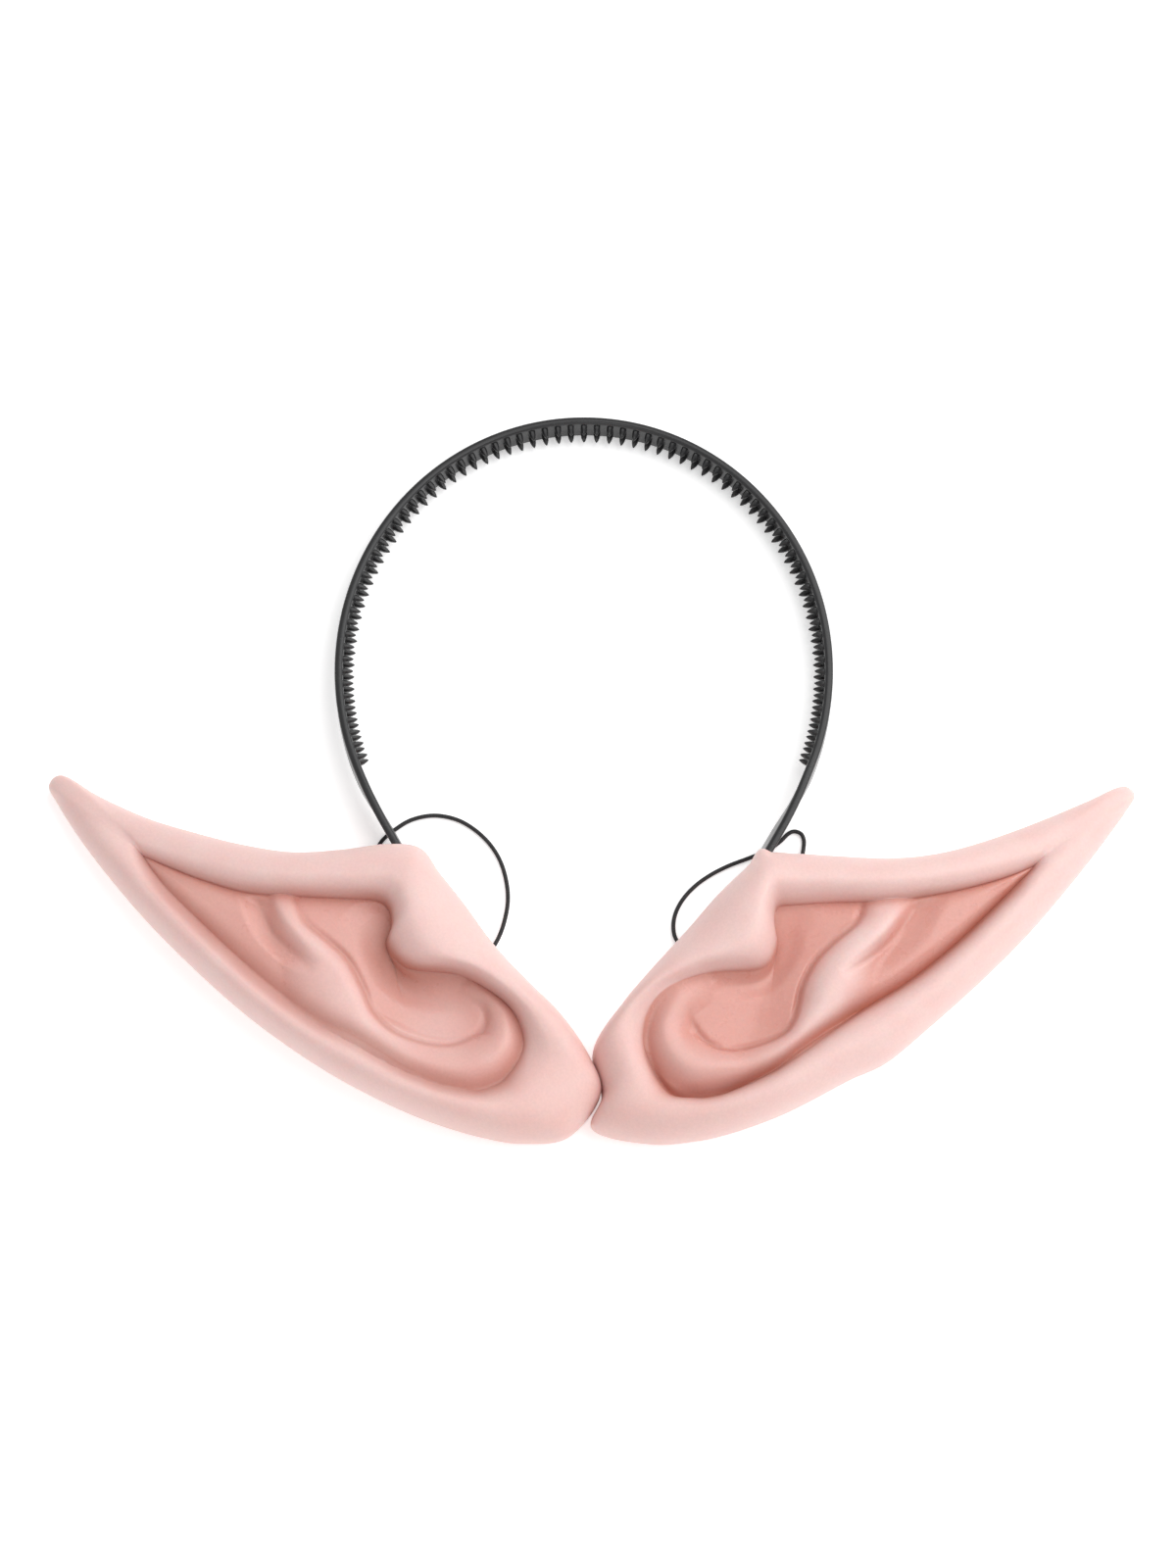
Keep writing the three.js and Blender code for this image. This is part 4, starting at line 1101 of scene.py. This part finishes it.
class EarShape:
    """The skin of one ear from its tables, in millimetres."""

    def __init__(self, side, ears):
        plan = named_columns(PLAN_COLUMNS, PLANS[side])
        self.rim = rim_run(plan, named_columns(RELIEF_COLUMNS, RELIEFS[side]))
        self.folds = [
            (dense_line(FOLD_COLUMNS, rows), FOLD_EDGES[kind]) for kind, rows in FOLDS[side].items()]
        self.creases = [dense_line(CREASE_COLUMNS, rows) for rows in CREASES[side].values()]
        self.stations = len(self.rim["side"]) * STATION_CUTS
        places = np.arange(self.stations) / STATION_CUTS
        self.row = {name: smooth(values, places, closed=True) for name, values in self.rim.items()}
        self.close_tip(places)
        self.lip = {"out": self.row["lip_out"], "up": self.row["lip_up"]}
        self.tuck = ears.tuck / MM
        self.lip_share = ears.lip_share
        self.swell = ears.swell
        self.gutter = GUTTER[side]
        self.hollow_paint = HOLLOW_PAINT[side]
        # Painted light in the middle of the left bowl
        self.pale = PAINTED_LIGHT_SPOT["share"] if side == PAINTED_LIGHT_SPOT["side"] else 0
        # Painted shade along the lower lip, with some settled paint, and the painted shade under the upper
        # roll
        self.paint, self.paint_reach = LOWER_LIP_PAINT_AND_SHADE[side]
        self.corner = CORNER_SHADE[side]

    def close_tip(self, places):
        """Lets the lips and floor run straight from row TIP_ROWS of the tables to one point, the tip."""
        rows = len(self.rim["side"])
        share = np.minimum(places, rows - places) / TIP_ROWS
        meet = {"lip_out": "lip_out", "mid_out": "lip_out", "lip_up": "lip_up", "mid_up": "lip_up",
                "lip": "lip", "floor": "lip"}
        for name, point in meet.items():
            tip = self.rim[point][0]
            far = np.where(places < rows / 2, self.rim[name][TIP_ROWS], self.rim[name][-TIP_ROWS])
            self.row[name] = np.where(share < 1, tip + (far - tip) * share, self.row[name])

    def pressed_in(self, spots):
        """How deep the thin creases are at places in the hollow."""
        depth = np.zeros(len(spots))
        for line in self.creases:
            k, gap = nearest(line, *spots.T)
            reach = np.minimum(gap / line["reach"][k], 1)
            depth = np.maximum(depth, line["depth"][k] * (1 - reach**2) ** 2)
        return depth

    def paint_and_shade_along_lip(self, spots, to_lip, on_roll):
        """How much painted shade, with some settled paint, lies along the lip, at places on the roll or on
        the floor.
        """
        s = self.row
        k = np.arange(len(spots))
        if not on_roll:
            k, to_lip = nearest(self.lip, *spots.T)
        lower = s["lower"][k]
        corner = bell(s["lip_out"][k] - self.corner["out"], self.corner["reach"]) * (1 - lower)
        # Painted shade along the lip, with some settled paint: changed under the upper roll, and full where
        # the roll stands high above the lip
        shade_strength = LIP_PAINT_AND_SHADE + self.paint * lower + self.corner["more"] * corner
        spread = ROLL_SPREAD + LOWER_SPREAD * lower if on_roll else 1 + self.corner["wider"] * corner
        deep = eased(s["crest"] - s["lip"], *LIP_DEPTHS)[k]
        return shade_strength * deep * bell(to_lip, self.paint_reach * spread)

    def ring(self, q, inset):
        """Points right round the ear, and how far each lies in the hollow and in a crease. Q is 0 at the
        back edge, 1 at the widest line, 2 at the crest of the roll, 3 at the lip and 4 in the middle."""
        s = self.row
        edge = np.column_stack([s["edge_out"], s["edge_up"]])
        across = np.column_stack([s["lip_out"], s["lip_up"]]) - edge
        width = np.hypot(*across.T)
        inward = across / width[:, None]
        start = s["solid"] if inset else np.zeros_like(width)
        lip = width - inset * self.lip_share
        crest = start + (lip - start) * s["crest_at"]
        f = q - min(math.floor(q), 3)
        turn = f * math.pi / 2
        none = np.zeros_like(width)
        fade = sum(share * eased(s["lip_out"], low, high) for low, high, share in GUTTER_FADES)
        gutter = self.gutter * s["lower"] * (1 - fade)

        def at(distance):
            return edge + inward * distance[:, None]

        if q < 1:
            spots = at(start + self.tuck * (1 - math.sin(turn)))
            return np.column_stack([spots, s["side"] * (1 - math.cos(turn))]), lobe_blush(spots), none
        if q < 2:
            spots = at(start + (crest - start) * (1 - math.cos(turn)))
            height = s["side"] + (s["crest"] - inset - s["side"]) * math.sin(turn)
            return np.column_stack([spots, height]), lobe_blush(spots), none
        if q < 3:
            share = f + (math.sin(turn) - f) * s["round"]
            fall = (0.5 + 0.5 * math.cos(2 * turn)) * (1 - s["round"]) + math.cos(turn) * s["round"]
            distance = crest + (lip - crest) * share
            spots = at(distance)
            fold = fold_height(self.folds, *spots.T)
            to_lip = lip - distance
            height = np.maximum(s["lip"] + (s["crest"] - s["lip"]) * fall, s["lip"] + fold)
            height = height - gutter * bell(to_lip, GUTTER_REACH["roll"])
            hollow = eased(f, *ROLL_PAINT) * (1 - LOWER_PALER * s["lower"])
        else:
            middle = np.column_stack([s["mid_out"], s["mid_up"]])
            spots = at(lip) * (1 - f) + middle * f
            base = s["lip"] + (s["floor"] - s["lip"]) * (1 - (1 - f) ** self.swell)
            to_lip = np.hypot(*(middle - at(lip)).T) * f
            border = eased(to_lip, 0, LIP_BORDER)
            fold = fold_height(self.folds, *spots.T)
            fold = np.where(fold < 0, fold * np.maximum(border, f * f), fold)
            height = base + fold - gutter * bell(to_lip, GUTTER_REACH["floor"]) * (1 - f * f)
            # Folds painted paler, less so nearer the lobe, where the darker colour is painted shade
            further = eased(spots[:, 0], FOLD_PALER_FURTHER_OUT["low"], FOLD_PALER_FURTHER_OUT["high"])
            fold_paling = (FOLD_PALER + FOLD_PALER_FURTHER_OUT["more"] * further) * np.maximum(fold, 0)
            hollow = np.clip(1 - LOWER_PALER * s["lower"] * (1 - border) - fold_paling, 0, 1)
        if inset:
            return np.column_stack([spots, height - inset]), none + INNER_PAINT, none
        hollow = np.maximum(hollow, lobe_blush(spots)) * self.hollow_paint
        # Painted light: the hollow's colour paler in the middle of the left bowl
        hollow = hollow * (1 - self.pale * nearness(spots, PAINTED_LIGHT_SPOT) ** 2)
        pressed = self.pressed_in(spots)
        mark = self.paint_and_shade_along_lip(spots, to_lip, on_roll=q < 3)
        # Painted shade in the thin creases and in the grooves, darker where the grooves are deeper
        mark += PRESSED_SHADE * pressed + GROOVE_SHADE * np.maximum(-fold, 0)
        return np.column_stack([spots, height - pressed]), hollow, np.clip(mark, 0, 1)


def section_steps(cuts):
    """The q values of a section, with each stretch cut as often as its entry says."""
    steps = [stretch + i / count for stretch, count in enumerate(cuts) for i in range(count)]
    return steps + [len(cuts)]


def ear_skins(side, ears):
    """Points, faces and paint marks of a hollow ear: outer skin, inner skin and the sole between them."""
    shape = EarShape(side, ears)
    points, hollow, crease_paint_and_shade, rings = [], [], [], []
    for cuts, inset in ((OUTER_CUTS, 0.0), (INNER_CUTS, ears.wall / MM)):
        steps = section_steps(cuts)
        for q in steps:
            ring, deep, mark = shape.ring(q, inset)
            if side == FLAP["side"]:
                ring[:, 1] += FLAP["rise"] * nearness(ring, FLAP) ** 2
            points.append(ring)
            hollow.append(deep)
            crease_paint_and_shade.append(mark)
        rings.append(len(steps))
    count = shape.stations
    i = np.arange(count)
    j = (i + 1) % count
    outer, inner = rings
    pairs = [(r + 1, r) for r in range(outer - 1)]
    pairs += [(outer + r, outer + r + 1) for r in range(inner - 1)]
    pairs.append((0, outer))
    faces = []
    for a, b in pairs:
        quad = np.column_stack([a * count + i, a * count + j, b * count + j, b * count + i])
        faces.append(quad[:, ::-1] if SIDES[side] > 0 else quad)
    places = np.concatenate(points) * (SIDES[side] * MM, MM, MM)
    return places, np.concatenate(faces), np.concatenate(hollow), np.concatenate(crease_paint_and_shade)


def merged_mesh(name, points, faces):
    """A mesh whose coinciding points are one, as they are at the tip."""
    mesh = bpy.data.meshes.new(name)
    mesh.from_pydata(points.tolist(), [], faces.tolist())
    work = bmesh.new()
    work.from_mesh(mesh)
    bmesh.ops.remove_doubles(work, verts=work.verts, dist=MERGE_GAP)
    bmesh.ops.dissolve_degenerate(work, edges=work.edges, dist=SLIVER_GAP)
    work.to_mesh(mesh)
    work.free()
    return mesh


def strip_cutter(band):
    """The strip made larger all round, to cut the slot where a leg enters an ear."""
    line, _ = hoop_line(band)
    ahead = unit(np.gradient(line, axis=0))
    side = np.column_stack([ahead[:, 1], -ahead[:, 0], 0 * ahead[:, 0]])
    x = band.thickness / 2 + band.slot_gap
    z = band.width / 2 + band.slot_gap
    corners = ((-x, -z), (x, -z), (x, z), (-x, z))
    points, faces = [], []
    for place, out in zip(line, side):
        points += [place + out * a + np.array((0, 0, b)) for a, b in corners]
    for k in range(len(line) - 1):
        for i in range(4):
            j = (i + 1) % 4
            faces.append((4 * k + i, 4 * k + j, 4 * k + 4 + j, 4 * k + 4 + i))
    end = 4 * (len(line) - 1)
    faces += [(3, 2, 1, 0), (end, end + 1, end + 2, end + 3)]
    mesh = mesh_of("strip_cutter", points, faces)
    lean_legs(mesh, band)
    mesh.transform(hoop_place(band))
    face_outwards(mesh)
    return add_object("strip_cutter", mesh)


def hole_cutter(side, radius):
    """A plain tube along a loop, to cut the holes where its ends enter an ear."""
    tube = swept_tube(loop_path(side, HOLE_ROUTE_CUTS), radius, HOLE_SIDES)
    return add_object("hole_cutter", tube_mesh("hole_cutter", *tube))


def cut_away(piece, cutter):
    modifier = piece.modifiers.new("Cut", "BOOLEAN")
    modifier.operation = "DIFFERENCE"
    modifier.solver = "EXACT"
    modifier.object = cutter
    plain_mesh(piece)


def lay_paint(piece, points, marks):
    """Gives each point of a cut piece the paint marks of the nearest point before the cuts."""
    paint = KDTree(len(points))
    for i, place in enumerate(points):
        paint.insert(place, i)
    paint.balance()
    found = [paint.find(v.co)[1] for v in piece.data.vertices]
    for mark, values in marks.items():
        layer = piece.data.attributes.new(mark, "FLOAT", "POINT")
        layer.data.foreach_set("value", values[found].astype(np.float32))


class PIXIE_OT_ears(bpy.types.Operator):
    """Cast the two hollow latex ears, with a slot for the leg and holes for the loop"""

    bl_idname = "pixie.ears"
    bl_label = "Ears"

    def execute(self, context):
        scene = context.scene
        ears, band, loops = scene.pixie_ears, scene.pixie_band, scene.pixie_loops
        latex = latex_material(ears)
        slot = strip_cutter(band)
        for side in SIDES:
            points, faces, hollow, crease_paint_and_shade = ear_skins(side, ears)
            name = f"{side}_latex_ear"
            ear = add_object(name, merged_mesh(name, points, faces))
            hole = hole_cutter(side, loops.diameter / 2 + band.slot_gap)
            cut_away(ear, slot)
            cut_away(ear, hole)
            remove_piece(hole)
            lay_paint(ear, points, {"hollow": hollow, "crease_paint_and_shade": crease_paint_and_shade})
            ear.data.materials.clear()
            ear.data.materials.append(latex)
            shade(ear.data, SHARP["ear"])
            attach(ear, BODY)
            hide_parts(f"{side}_ear")
        remove_piece(slot)
        return {"FINISHED"}


class PIXIE_PT_panel(bpy.types.Panel):
    """Pixie ear headband"""

    bl_idname = "PIXIE_PT_panel"
    bl_label = "Pixie ear headband"
    bl_space_type = "VIEW_3D"
    bl_region_type = "UI"
    bl_category = "Pixie ears"

    def draw(self, context):
        for operator in OPERATORS:
            self.layout.operator(operator.bl_idname)


OPERATORS = (PIXIE_OT_stage, PIXIE_OT_elastic_loops, PIXIE_OT_hair_band, PIXIE_OT_ears)
SETTINGS = {
    "pixie_stage": StageSettings, "pixie_loops": LoopSettings, "pixie_band": BandSettings,
    "pixie_ears": EarSettings,
}


def register():
    for kind in (*SETTINGS.values(), *OPERATORS, PIXIE_PT_panel):
        bpy.utils.register_class(kind)
    for name, kind in SETTINGS.items():
        setattr(bpy.types.Scene, name, PointerProperty(type=kind))


def unregister():
    for name in SETTINGS:
        delattr(bpy.types.Scene, name)
    for kind in (PIXIE_PT_panel, *OPERATORS, *SETTINGS.values()):
        bpy.utils.unregister_class(kind)


def main():
    register()
    bpy.ops.pixie.stage()
    bpy.ops.pixie.elastic_loops()
    bpy.ops.pixie.hair_band()
    bpy.ops.pixie.ears()
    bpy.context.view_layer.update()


if __name__ == "__main__":
    main()
